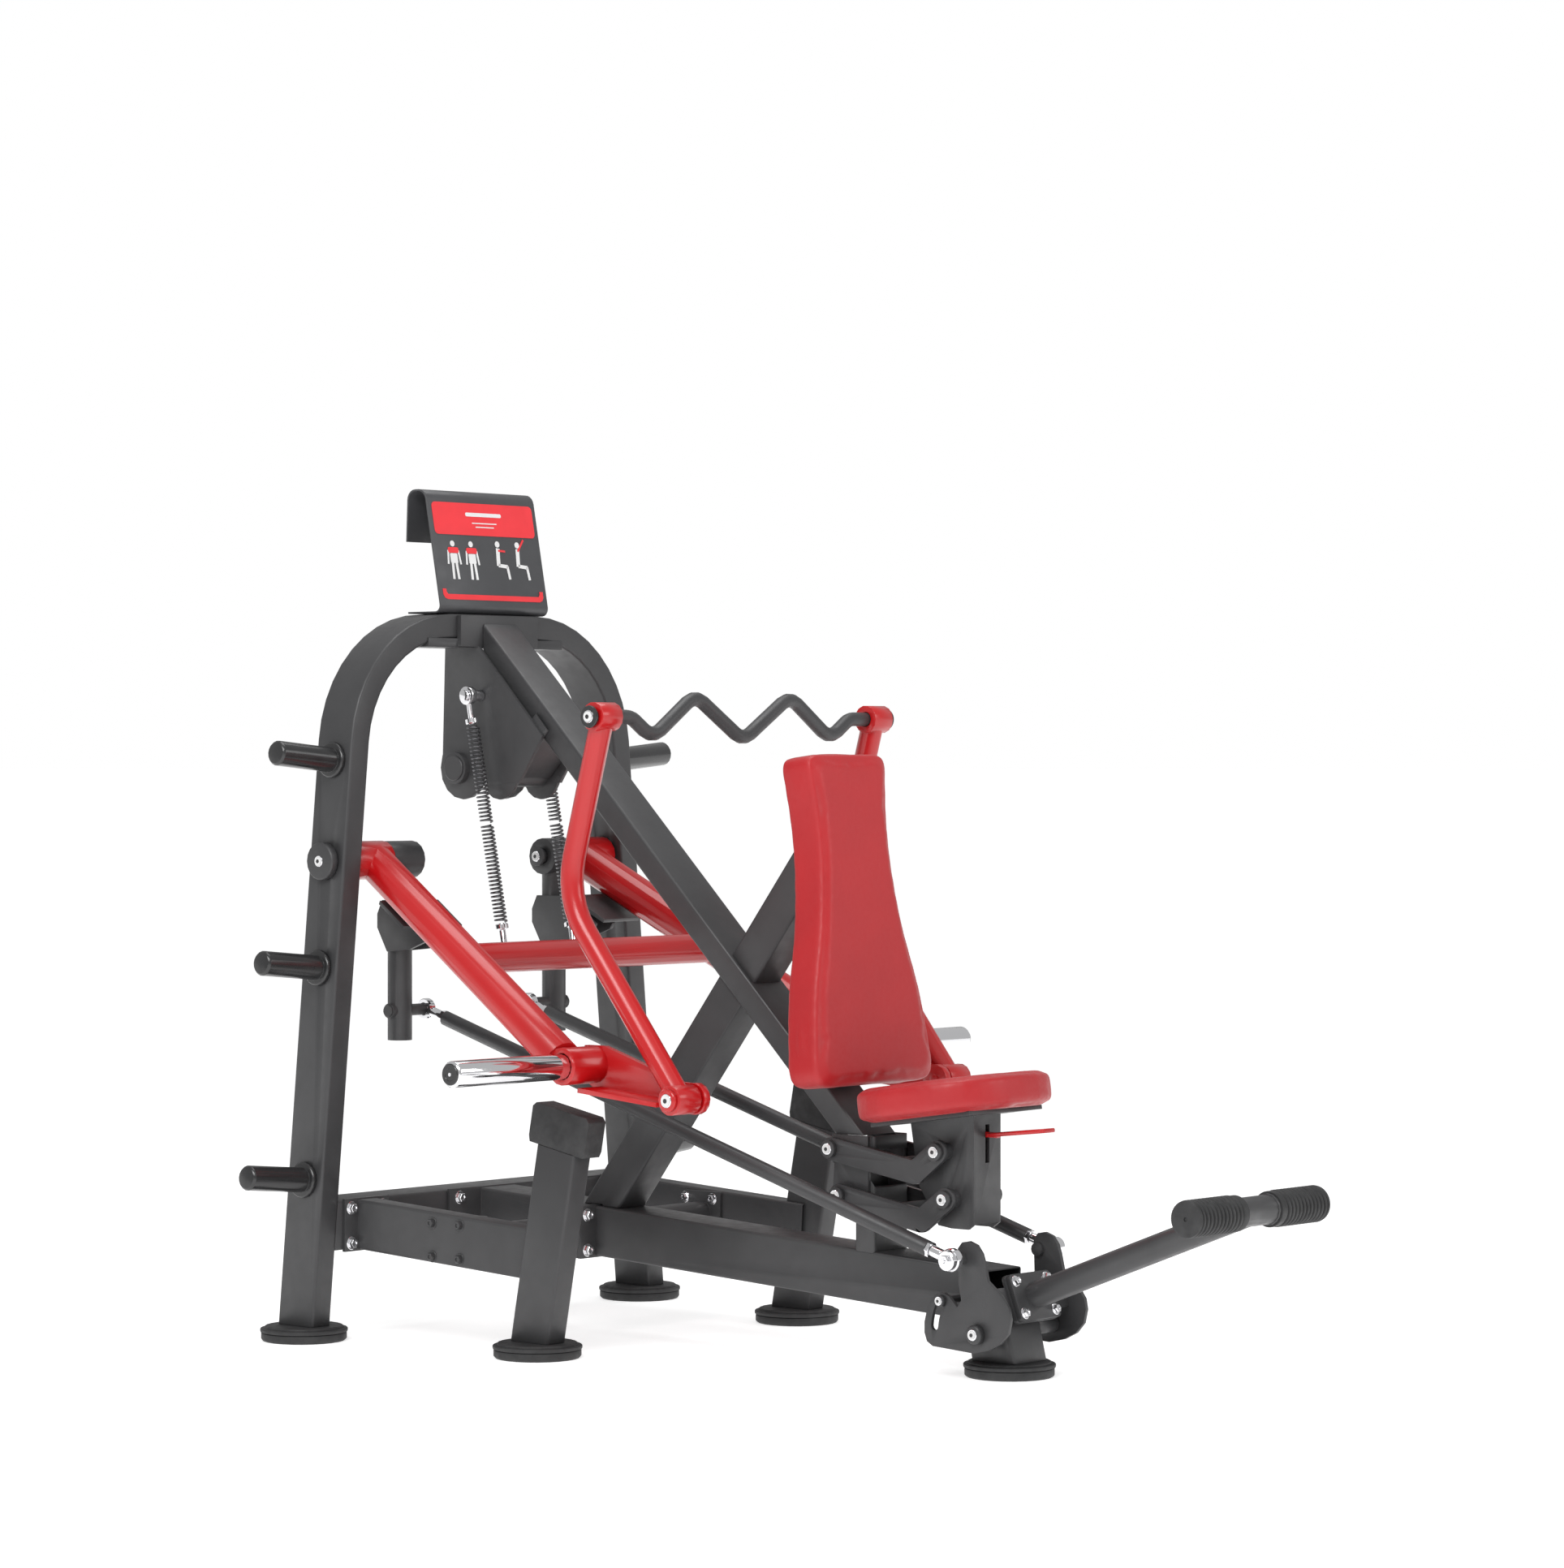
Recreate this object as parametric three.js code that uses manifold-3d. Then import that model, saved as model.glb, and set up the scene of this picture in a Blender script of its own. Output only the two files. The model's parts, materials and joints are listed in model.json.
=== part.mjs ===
// Plate-loaded shoulder press machine with a foot-pedal lift, built as separate bolted and welded pieces.
// Millimetres, +Z up, -Y towards the front (the pedal end), +X to the seated user's left.
import * as THREE from "three";
import { mergeVertices } from "three/addons/utils/BufferGeometryUtils.js";
import Module from "manifold-3d";

const wasm = await Module();
wasm.setup();

// ---------- driving dimensions ----------
const GAP = 0.4; // left between two pieces that touch
const WALL = 3; // wall of every frame tube
const TUBE = 100; // long side of the frame tubes
const HALF_TUBE = 50; // short side of the flat frame tubes
const CORNER = 6; // outer corner radius of the frame tubes

const ARCH_FOOT_X = 490; // leg centre at the foot
const ARCH_LEAN = 0.0935; // inward lean of the legs, per mm of height
const ARCH_TOP = 1425; // centre line of the arch's flat top
const ARCH_BEND = 259; // centre-line radius of the arch's shoulders
const FOOT_HEIGHT = 30;
const FOOT_RADIUS = 85;
const PEG_HEIGHTS = { top: 1149, middle: 735, bottom: 315 };
const PEG_LENGTH = 157;
const PEG_RADIUS = 25;

const BASE_TOP = 277; // top of the base frame at its rear crossmember
const BASE_SLOPE = 0.0571; // the base frame falls this much per mm towards the front
const RAIL_X = 373;
const CROSS_TUBE_Y = -315;
const BEAM_JOINT_Y = -372; // where the rear beam is bolted to the main beam
const BEAM_END_Y = -1382;
const STOP_LEG = { footX: 382, footY: -540, lean: 0.19, top: 405 };
const STOP_BLOCK = { length: 150, width: 48, height: 78 };
const FRONT_FOOT_Y = -1397;
const DIAGONAL_ANGLE = THREE.MathUtils.degToRad(44.36);
const DIAGONAL_START = [-75, 1420]; // y, z on the top face
const DIAGONAL_END_Y = -1075;
const BRACE_FOOT = [-385, 258];
const BRACE_CROSSING = [-768, 748];
const BRACE_SIZE = 80;

const ARM_PIVOT = { y: 0, z: 950 };
const ARM_TUBE_RADIUS = 38;
const ARM_TUBE_TOP_X = 300;
const ARM_TUBE_END = { x: 428, y: -650, z: 581 };
const CROSS_ARM = { y: -330, z: 762, radius: 30 };
const SLEEVE = { y: -676, z: 570, radius: 25, end: 753 };
const SLEEVE_HUB = { from: 352, to: 457, radius: 36 };
const PRESS_PIVOT = { y: -930, z: 516 };
const PRESS_CORNER = { y: -633, z: 889, bend: 160 };
const PRESS_TOP = { y: -730, z: 1234 };
const PRESS_X = 400;
const PRESS_TUBE_RADIUS = 22.5;
const HANDLE_RADIUS = 14;

const LEVER_X = 225;
const LEVER_BOTTOM = 584;
const ROD_EYE = { x: 150, y: 0, z: 644 };
const PEDAL_EYE = { x: 150, y: -1380, z: 228 };
const ROD_RADIUS = 15;
const PEDAL_PIVOT = { y: -1414, z: 90 };
const PEDAL_PLATE_X = 118;
const STOP_PIN = { y: -1329, z: 146 };
const PEDAL_TRAVEL = THREE.MathUtils.degToRad(28);
const PEDAL_BAR_START = [-1438, 148];
const PEDAL_BAR_END = [-1950, 343];
const PEDAL_BAR_HALF = 198;

const SPRING_TOP = { x: 101, y: -72, z: 1283 };
const SPRING_FOOT = { x: 101, y: -178, z: 762 };
const COIL_RADIUS = 14;

const PAD_LEAN = THREE.MathUtils.degToRad(6.8);
const PAD_BOTTOM = { y: -1080, z: 530 }; // lower front edge of the back pad
const PAD_THICKNESS = 84;
const PAD_HEIGHT = 642;
const SEAT_TILT = THREE.MathUtils.degToRad(8.2);
const SEAT = { y: -1264, z: 516, radius: 176, thickness: 64 };
const LINK_REAR_UPPER = [-1017, 409];
const LINK_REAR_LOWER = [-1037, 321];
const LINK_SPAN = [-262, 8]; // rear pivot to front pivot of both seat links
const LINK_X = 62; // inner face of the link plates
const LINK_THICKNESS = 10;
const CARRIAGE_HALF = 40;
const CARRIAGE_FRONT = -1344;

const PIN_RADIUS = 10; // seat link and press arm pivot pins
const EYE_STUD = 6;
const EYE_BORE = 7.2;
const LOOSE_STUD = 4.5; // stud and bore of a rod end that is free to wander a little
const LOOSE_BORE = 12;

// ---------- materials ----------
const finishes = {
  frame: { color: 0x48494b, roughness: 0.55, metalness: 0.4 },
  red: { color: 0xc8191c, roughness: 0.3, metalness: 0.2 },
  leather: { color: 0xb93a3c, roughness: 0.5, metalness: 0 },
  chrome: { color: 0xd8dadc, roughness: 0.1, metalness: 1 },
  rubber: { color: 0x262626, roughness: 0.8, metalness: 0 },
  placard: { color: 0x3a3b3d, roughness: 0.5, metalness: 0.2 },
};

// ---------- solids ----------
function solid(geometry) {
  const loose = geometry.index ? geometry.toNonIndexed() : geometry;
  const bare = new THREE.BufferGeometry();
  bare.setAttribute("position", loose.getAttribute("position"));
  const merged = mergeVertices(bare, 1e-4);
  const made = new wasm.Manifold(
    new wasm.Mesh({
      numProp: 3,
      vertProperties: merged.attributes.position.array,
      triVerts: new Uint32Array(merged.index.array),
    }),
  );
  return made;
}

function join(...pieces) {
  return pieces.reduce((whole, piece) => whole.add(piece));
}

function cut(piece, ...tools) {
  return tools.reduce((rest, tool) => rest.subtract(tool), piece);
}

function geometryOf(made) {
  const mesh = made.getMesh();
  const geometry = new THREE.BufferGeometry();
  const positions = new Float32Array(mesh.vertProperties);
  geometry.setAttribute("position", new THREE.BufferAttribute(positions, 3));
  geometry.setIndex(new THREE.BufferAttribute(new Uint32Array(mesh.triVerts), 1));
  return geometry;
}

function mirrored(made) {
  const geometry = geometryOf(made);
  geometry.applyMatrix4(new THREE.Matrix4().makeScale(-1, 1, 1));
  const faces = geometry.index.array;
  for (let i = 0; i < faces.length; i += 3) {
    const first = faces[i];
    faces[i] = faces[i + 1];
    faces[i + 1] = first;
  }
  return solid(geometry);
}

// ---------- outlines ----------
function roundedRectangle(width, height, radius) {
  const w = width / 2 - radius;
  const h = height / 2 - radius;
  const shape = new THREE.Shape();
  const quarter = Math.PI / 2;
  shape.absarc(w, h, radius, 0, quarter);
  shape.absarc(-w, h, radius, quarter, 2 * quarter);
  shape.absarc(-w, -h, radius, 2 * quarter, 3 * quarter);
  shape.absarc(w, -h, radius, 3 * quarter, 4 * quarter);
  shape.closePath();
  return shape;
}

function rectanglePath(width, height) {
  const path = new THREE.Path();
  path.moveTo(-width / 2, -height / 2);
  path.lineTo(width / 2, -height / 2);
  path.lineTo(width / 2, height / 2);
  path.lineTo(-width / 2, height / 2);
  path.closePath();
  return path;
}

function tubeSection(width, height, wall = WALL) {
  const shape = roundedRectangle(width, height, CORNER);
  if (wall) shape.holes.push(rectanglePath(width - 2 * wall, height - 2 * wall));
  return shape;
}

function roundSection(radius, bore = 0) {
  const shape = new THREE.Shape();
  shape.absarc(0, 0, radius, 0, 2 * Math.PI);
  if (bore) {
    const hole = new THREE.Path();
    hole.absarc(0, 0, bore, 0, 2 * Math.PI);
    shape.holes.push(hole);
  }
  return shape;
}

function polygon(points) {
  return new THREE.Shape(points.map(([a, b]) => new THREE.Vector2(a, b)));
}

// ---------- extrusions ----------
const ARC_DIVISIONS = { rectangle: 2, round: 7 };

// A section carried straight from one point to another. Its width lies along `across`.
function straight(section, from, to, across, divisions) {
  const start = new THREE.Vector3(...from);
  const along = new THREE.Vector3(...to).sub(start);
  const depth = along.length();
  const geometry = new THREE.ExtrudeGeometry(section, {
    depth,
    bevelEnabled: false,
    curveSegments: divisions,
  });
  const zAxis = along.normalize();
  const yAxis = new THREE.Vector3().crossVectors(zAxis, new THREE.Vector3(...across)).normalize();
  const xAxis = new THREE.Vector3().crossVectors(yAxis, zAxis);
  geometry.applyMatrix4(new THREE.Matrix4().makeBasis(xAxis, yAxis, zAxis));
  geometry.translate(start.x, start.y, start.z);
  return solid(geometry);
}

const ACROSS_X = [1, 0, 0];
const ACROSS_Y = [0, 1, 0];

function boxTube(from, to, width, height, wall = WALL, across = ACROSS_X) {
  return straight(tubeSection(width, height, wall), from, to, across, ARC_DIVISIONS.rectangle);
}

function roundBar(from, to, radius, bore = 0, divisions = ARC_DIVISIONS.round) {
  const along = new THREE.Vector3(...to).sub(new THREE.Vector3(...from)).normalize();
  const across = Math.abs(along.x) > 0.9 ? ACROSS_Y : ACROSS_X;
  return straight(roundSection(radius, bore), from, to, across, divisions);
}

// A round bar along X between two X positions.
function xBar(fromX, toX, y, z, radius, bore = 0, divisions = ARC_DIVISIONS.round) {
  return roundBar([fromX, y, z], [toX, y, z], radius, bore, divisions);
}

// A plate whose outline is drawn in Y and Z, from one X position to another.
function sidePlate(shape, fromX, toX, divisions = 6) {
  const geometry = new THREE.ExtrudeGeometry(shape, {
    depth: toX - fromX,
    bevelEnabled: false,
    curveSegments: divisions,
  });
  const turn = new THREE.Matrix4().makeBasis(
    new THREE.Vector3(0, 1, 0),
    new THREE.Vector3(0, 0, 1),
    new THREE.Vector3(1, 0, 0),
  );
  geometry.applyMatrix4(turn);
  geometry.translate(fromX, 0, 0);
  return solid(geometry);
}

function boxBetween(minimum, maximum) {
  const size = maximum.map((high, i) => high - minimum[i]);
  const geometry = new THREE.BoxGeometry(...size);
  geometry.translate(...maximum.map((high, i) => (high + minimum[i]) / 2));
  return geometry;
}

function block(minimum, maximum) {
  return solid(boxBetween(minimum, maximum));
}

// A plate with round ends between two points in Y and Z.
function capsulePlate(from, to, radius, fromX, toX) {
  const angle = Math.atan2(to[1] - from[1], to[0] - from[0]);
  const shape = new THREE.Shape();
  shape.absarc(to[0], to[1], radius, angle - Math.PI / 2, angle + Math.PI / 2);
  shape.absarc(from[0], from[1], radius, angle + Math.PI / 2, angle + 1.5 * Math.PI);
  shape.closePath();
  return sidePlate(shape, fromX, toX, 4);
}

// Straight runs joined by round bends, with stations only where the direction changes.
class BentPath extends THREE.Curve {
  constructor(corners, bendRadii, stepsPerBend) {
    super();
    this.stations = [];
    const points = corners.map((corner) => new THREE.Vector3(...corner));
    const last = points.length - 1;
    const direction = (i) => points[i + 1].clone().sub(points[i]).normalize();
    this.stations.push({ point: points[0], tangent: direction(0) });
    for (let i = 1; i < last; i++) {
      this.addBend(points[i], direction(i - 1), direction(i), bendRadii[i - 1], stepsPerBend);
    }
    this.stations.push({ point: points[last], tangent: direction(last - 1) });
  }

  addBend(corner, before, after, radius, steps) {
    const turn = before.angleTo(after);
    const axis = new THREE.Vector3().crossVectors(before, after).normalize();
    const start = corner.clone().addScaledVector(before, -radius * Math.tan(turn / 2));
    const inward = new THREE.Vector3().crossVectors(axis, before);
    const centre = start.clone().addScaledVector(inward, radius);
    for (let step = 0; step <= steps; step++) {
      const angle = (turn * step) / steps;
      const arm = start.clone().sub(centre).applyAxisAngle(axis, angle);
      const tangent = before.clone().applyAxisAngle(axis, angle);
      this.stations.push({ point: centre.clone().add(arm), tangent });
    }
  }

  get steps() {
    return this.stations.length - 1;
  }

  getPointAt(u) {
    return this.stations[Math.round(u * this.steps)].point.clone();
  }

  getTangentAt(u) {
    return this.stations[Math.round(u * this.steps)].tangent.clone();
  }
}

function bent(section, path, divisions) {
  const geometry = new THREE.ExtrudeGeometry(section, {
    extrudePath: path,
    steps: path.steps,
    bevelEnabled: false,
    curveSegments: divisions,
  });
  return solid(geometry);
}

// A turned piece: [radius, height] points from the axis to the axis, standing on Z.
function turned(profile, segments = 18) {
  const points = profile.map(([radius, height]) => new THREE.Vector2(radius, height));
  const geometry = new THREE.LatheGeometry(points, segments);
  geometry.rotateX(Math.PI / 2);
  return geometry;
}

// A turned piece set with its axis along X, its profile heights read as X positions.
function turnedAlongX(profile, y, z, segments = 16) {
  const geometry = turned(profile, segments);
  geometry.rotateY(Math.PI / 2);
  geometry.translate(0, y, z);
  return solid(geometry);
}

const machine = new THREE.Group();

function add(name, made, finish) {
  const geometry = geometryOf(made);
  geometry.computeVertexNormals();
  const mesh = new THREE.Mesh(geometry, new THREE.MeshStandardMaterial(finishes[finish]));
  mesh.name = name;
  machine.add(mesh);
}

// The piece is built on the user's right (-X) and mirrored for the left (+X).
function addPair(name, made, finish) {
  add(`${name}_right`, made, finish);
  add(`${name}_left`, mirrored(made), finish);
}

const baseTop = (y) => BASE_TOP + BASE_SLOPE * (y + TUBE / 2);
const archX = (z) => ARCH_FOOT_X - ARCH_LEAN * (z - FOOT_HEIGHT);
const FLOOR_CUTTER = block([-900, -2200, -200], [900, 300, FOOT_HEIGHT + GAP]);

// ---------- feet ----------
function foot(x, y) {
  const r = FOOT_RADIUS;
  const h = FOOT_HEIGHT;
  const profile = [
    [0, 0],
    [r - 4, 0],
    [r, 4],
    [r, h - 14],
    [r - 6, h - 10],
    [r - 6, h - 2],
    [r - 9, h],
    [0, h],
  ];
  const geometry = turned(profile, 24);
  geometry.translate(x, y, 0);
  return solid(geometry);
}

// ---------- rear arch ----------
function archSweep(width, height, wall) {
  const low = 18;
  const cornerX = archX(ARCH_TOP);
  const path = new BentPath(
    [
      [-archX(low), 0, low],
      [-cornerX, 0, ARCH_TOP],
      [cornerX, 0, ARCH_TOP],
      [archX(low), 0, low],
    ],
    [ARCH_BEND, ARCH_BEND],
    10,
  );
  return bent(tubeSection(width, height, wall), path, ARC_DIVISIONS.rectangle);
}

const ARCH_OUTER = archSweep(TUBE + 2 * GAP, HALF_TUBE + 2 * GAP, 0);
const AXLE_RADIUS = 15;
const AXLE_HOLE = 15.6;

function archFrame() {
  const axleHole = xBar(-470, 470, ARM_PIVOT.y, ARM_PIVOT.z, AXLE_HOLE);
  return cut(archSweep(TUBE, HALF_TUBE, WALL), FLOOR_CUTTER, axleHole);
}

// A storage peg: weld flange, hollow bar and rounded cap, square to the leaning leg.
function storagePeg(height) {
  const bore = PEG_RADIUS - 4;
  const profile = [
    [0, PEG_LENGTH - 10],
    [bore, PEG_LENGTH - 10],
    [bore, 0],
    [36, 0],
    [36, 7],
    [33, 10],
    [PEG_RADIUS, 10],
    [PEG_RADIUS, PEG_LENGTH - 5],
    [PEG_RADIUS - 4, PEG_LENGTH],
    [0, PEG_LENGTH],
  ];
  const lean = Math.atan(ARCH_LEAN);
  const geometry = turned(profile);
  geometry.translate(0, 0, HALF_TUBE / 2 + GAP);
  geometry.rotateY(-Math.PI / 2 + lean);
  geometry.translate(-archX(height), 0, height);
  return solid(geometry);
}

// The sheet-metal instruction board: foot on the arch, face leaning back, rolled top and rear flap.
function placard() {
  const low = ARCH_TOP + HALF_TUBE / 2 + 2.5;
  const path = new BentPath(
    [
      [0, 46, low],
      [0, -50, low],
      [0, -2, 1703],
      [0, 46, 1703],
      [0, 50, 1598],
    ],
    [14, 22, 20],
    5,
  );
  return bent(rectangularSection(4, 314), path, 1);
}

function rectangularSection(width, height) {
  return new THREE.Shape(rectanglePath(width, height).getPoints());
}

// ---------- rear crossmember and base ----------
function rearCrossmember() {
  const z = BASE_TOP - TUBE / 2;
  return cut(boxTube([-470, 0, z], [470, 0, z], TUBE, TUBE, WALL, ACROSS_Y), ARCH_OUTER);
}

function slopedTube(x, fromY, toY, width, height) {
  const from = [x, fromY, baseTop(fromY) - height / 2];
  const to = [x, toY, baseTop(toY) - height / 2];
  return (wall = WALL, extra = 0) => boxTube(from, to, width + extra, height + extra, wall);
}

function boltedFlange(x, fromY, toY, width) {
  const top = baseTop(fromY) + 2;
  return block([x - width / 2, toY, top - TUBE - 5], [x + width / 2, fromY, top]);
}

const FLANGE = 8;
const FLANGE_Y = -TUBE / 2 - GAP;

function stopLegTube(wall, extra = 0) {
  const { footX, footY, lean, top } = STOP_LEG;
  const from = [-footX, footY + lean * 30, 0];
  const to = [-footX, footY - lean * (top - FOOT_HEIGHT), top];
  return boxTube(from, to, HALF_TUBE + extra, TUBE + extra, wall);
}

function sideRail() {
  const rail = slopedTube(-RAIL_X, FLANGE_Y - 5, -580, HALF_TUBE, TUBE)();
  const flange = boltedFlange(-RAIL_X, FLANGE_Y, FLANGE_Y - FLANGE, 120);
  return cut(join(cut(rail, stopLegTube(0, 2 * GAP)), flange), ARCH_OUTER);
}

const CENTRE_BEAM = slopedTube(0, FLANGE_Y - 5, BEAM_JOINT_Y + 5, TUBE, TUBE);
const MAIN_BEAM = slopedTube(0, BEAM_JOINT_Y - 5, BEAM_END_Y, TUBE, TUBE);

function crossTube() {
  const z = baseTop(CROSS_TUBE_Y) - TUBE / 2;
  const inner = RAIL_X - HALF_TUBE / 2 - GAP;
  const tube = xBar(-inner + 2, -TUBE / 2 + 1, CROSS_TUBE_Y, z, 25, 22);
  const flange = block(
    [-inner, CROSS_TUBE_Y - 50, z - 46],
    [-inner + FLANGE, CROSS_TUBE_Y + 50, z + 46],
  );
  const seen = xBar(-inner - 1, -inner + FLANGE + 1, CROSS_TUBE_Y, z, 22);
  return join(tube, cut(flange, seen));
}

// The centre beam behind the bolted joint, with a round tube out to each side rail.
function rearBeam() {
  const rear = boltedFlange(0, FLANGE_Y, FLANGE_Y - FLANGE, 280);
  const front = boltedFlange(0, BEAM_JOINT_Y + FLANGE, BEAM_JOINT_Y, 186);
  const side = crossTube();
  const along = [FLANGE_Y + 10, BEAM_JOINT_Y - 10];
  const throat = roundBar(...along.map((y) => [0, y, baseTop(y) - TUBE / 2]), 30);
  return cut(join(CENTRE_BEAM(), rear, front, side, mirrored(side)), throat);
}

function mainBeam() {
  const rear = boltedFlange(0, BEAM_JOINT_Y - GAP, BEAM_JOINT_Y - GAP - FLANGE, 186);
  return join(MAIN_BEAM(), rear, travelStopPin());
}

function stopLeg() {
  return cut(stopLegTube(WALL), FLOOR_CUTTER);
}

// The rubber buffer that the loaded arm comes to rest on, with its steel cup below.
function stopBlock() {
  const { footX, footY, lean, top } = STOP_LEG;
  const angle = Math.atan(lean);
  const { length, width, height } = STOP_BLOCK;
  const profile = new THREE.Shape();
  const half = length / 2;
  profile.moveTo(-half + 4, 0);
  profile.lineTo(half - 4, 0);
  profile.lineTo(half, 12);
  profile.lineTo(half, height - 8);
  profile.lineTo(half - 8, height);
  profile.lineTo(-half + 8, height);
  profile.lineTo(-half, height - 8);
  profile.lineTo(-half, 12);
  profile.closePath();
  const geometry = new THREE.ExtrudeGeometry(profile, { depth: width, bevelEnabled: false });
  geometry.applyMatrix4(
    new THREE.Matrix4().makeBasis(
      new THREE.Vector3(0, 1, 0),
      new THREE.Vector3(0, 0, 1),
      new THREE.Vector3(1, 0, 0),
    ),
  );
  geometry.translate(-width / 2, 0, GAP);
  geometry.rotateX(angle);
  geometry.translate(-footX, footY - lean * (top - FOOT_HEIGHT), top);
  return solid(geometry);
}

function frontLeg() {
  const lean = 0.25;
  const low = 10;
  const high = 109;
  const at = (z) => FRONT_FOOT_Y + lean * (z - FOOT_HEIGHT);
  const body = boxTube([0, at(low), low], [0, at(high + 30), high + 30], TUBE, TUBE, 0);
  const hollow = boxTube([0, at(low), low], [0, at(high - 22), high - 22], TUBE - 10, TUBE - 10, 0);
  const lid = block([-90, -1600, high], [90, -1200, high + 90]);
  const axle = xBar(-60, 60, PEDAL_PIVOT.y, PEDAL_PIVOT.z, PEDAL_AXLE + 0.6);
  const beam = slopedTube(0, BEAM_JOINT_Y, BEAM_END_Y - 1, TUBE + 20, TUBE)(0, 2 * GAP);
  return cut(body, hollow, lid, FLOOR_CUTTER, axle, beam);
}

// ---------- diagonal beam, brace and seat post ----------
function onDiagonal(y, depth) {
  const slope = Math.tan(DIAGONAL_ANGLE);
  const z = DIAGONAL_START[1] - slope * (DIAGONAL_START[0] - y);
  return [0, y + depth * Math.sin(DIAGONAL_ANGLE), z - depth * Math.cos(DIAGONAL_ANGLE)];
}

function diagonalTube(wall, extra = 0) {
  const depth = HALF_TUBE / 2;
  const from = onDiagonal(60, depth);
  const to = onDiagonal(DIAGONAL_END_Y - 90, depth);
  return boxTube(from, to, TUBE + extra, HALF_TUBE + extra, wall);
}

const POST = { rear: -1060, front: -1110, top: 436 };
const UNDER_ARCH = ARCH_TOP - HALF_TUBE / 2;

function diagonalBeam() {
  const overHead = block([-70, -64, 1360], [70, 300, 1600]);
  const overPost = block([-70, -1300, 200], [70, POST.front, 800]);
  const underPost = block([-70, -1300, 200], [70, -1000, POST.top]);
  return cut(diagonalTube(WALL), overHead, overPost, underPost, ARCH_OUTER);
}

function bracePoint(share) {
  const [y0, z0] = BRACE_FOOT;
  const [y1, z1] = BRACE_CROSSING;
  return [0, y0 + (y1 - y0) * share, z0 + (z1 - z0) * share];
}

function lowerBrace() {
  const tube = boxTube(bracePoint(-0.3), bracePoint(0.96), BRACE_SIZE, BRACE_SIZE);
  const beams = [MAIN_BEAM(0, 2 * GAP), CENTRE_BEAM(0, 2 * GAP)];
  const joint = block([-80, -390, 100], [80, -350, baseTop(BEAM_JOINT_Y) + 3]);
  const under = block([-80, -800, -100], [80, 0, 200]);
  return cut(tube, ...beams, joint, under, diagonalTube(0, 2 * GAP));
}

// A box in the back pad's own frame: Y runs from its front face rearwards, Z up along it.
function inPadFrame(geometry) {
  geometry.rotateX(-PAD_LEAN);
  geometry.translate(0, PAD_BOTTOM.y, PAD_BOTTOM.z);
  return solid(geometry);
}

const PAD_PLATE = 7;

function backPadPost() {
  const rear = PAD_THICKNESS + GAP;
  const tube = boxTube(bracePoint(0.95), bracePoint(1.5), BRACE_SIZE, BRACE_SIZE);
  const pad = inPadFrame(boxBetween([-200, -300, -100], [200, rear + PAD_PLATE - 2, 900]));
  const plate = inPadFrame(boxBetween([-70, rear, 270], [70, rear + PAD_PLATE, 560]));
  return join(cut(tube, pad, diagonalTube(0, 2 * GAP)), plate);
}

function seatPost() {
  const foot = boxTube([0, -1085, 150], [0, -1085, POST.top - GAP], TUBE, HALF_TUBE);
  const cheekOutline = polygon([
    [-995, 396],
    [-1012, 436],
    [-1100, 436],
    [-1100, 296],
    [-1030, 292],
    [-1010, 310],
    [-1016, 380],
  ]);
  const cheeks = [
    sidePlate(cheekOutline, -58, -49),
    sidePlate(cheekOutline, 49, 58),
  ];
  const pins = [LINK_REAR_UPPER, LINK_REAR_LOWER].map((pivot) => linkPins(pivot, 52));
  const beam = MAIN_BEAM(0, 2 * GAP);
  const under = block([-80, -1200, 0], [80, -1000, 180]);
  return join(cut(join(cut(foot, beam, under), ...cheeks), diagonalTube(0, 2 * GAP)), ...pins);
}

// The two headed stubs, one each side, that a pair of link plates turns on.
function linkPins([y, z], root) {
  const plate = LINK_X + LINK_THICKNESS;
  const pin = join(
    xBar(-LINK_X + 1, -root, y, z, 16, 0, 7),
    xBar(-plate - 3, -root, y, z, PIN_RADIUS, 0, 5),
    xBar(-plate - 9, -plate - 1, y, z, 17, 0, 7),
  );
  return join(pin, mirrored(pin));
}

// ---------- spring hanger under the arch ----------
const HANGER_X = [56, 64];
const HANGER_BOSS = { y: -8, z: 1135 };
const HANGER_LOBES = [
  { y: -20, z: 1136, radius: 65 },
  { y: -125, z: 1121, radius: 50 },
];

function hangerPlate() {
  const body = polygon([
    [32, 1385],
    [-62, 1385],
    [-245, 1200],
    [-178, 1105],
    [-20, 1100],
    [40, 1130],
  ]);
  const [inner, outer] = HANGER_X;
  const lobes = HANGER_LOBES.map(({ y, z, radius }) => xBar(-outer, -inner, y, z, radius, 0, 8));
  const boss = xBar(-outer - 14, -outer + 1, HANGER_BOSS.y, HANGER_BOSS.z, 33, 0, 8);
  return join(sidePlate(body, -outer, -inner), ...lobes, boss);
}

// Ties between the hanger plates, with the strut that props the diagonal beam.
function hangerTies() {
  const { y, z } = HANGER_LOBES[1];
  const reach = HANGER_X[0] + 1;
  const front = xBar(-reach, reach, y, z, 25);
  const rear = xBar(-reach, reach, HANGER_BOSS.y, HANGER_BOSS.z, 25);
  const strut = boxTube([0, y - 12, z + 12], [0, y - 110, z + 108], 2 * reach, 50, 5);
  return join(front, rear, cut(strut, diagonalTube(0, 2 * GAP)));
}

// Seat of the arch on the diagonal beam: a plate below the arch and a cheek on its front.
function archSaddle() {
  const under = UNDER_ARCH - GAP;
  const front = -TUBE / 2 - GAP;
  const plate = block([-195, front - 2, under - 18], [195, TUBE / 2, under]);
  const cheek = block([-112, front - 12, under - 16], [112, front, ARCH_TOP + 22]);
  return cut(join(plate, cheek), ARCH_OUTER);
}

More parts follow.
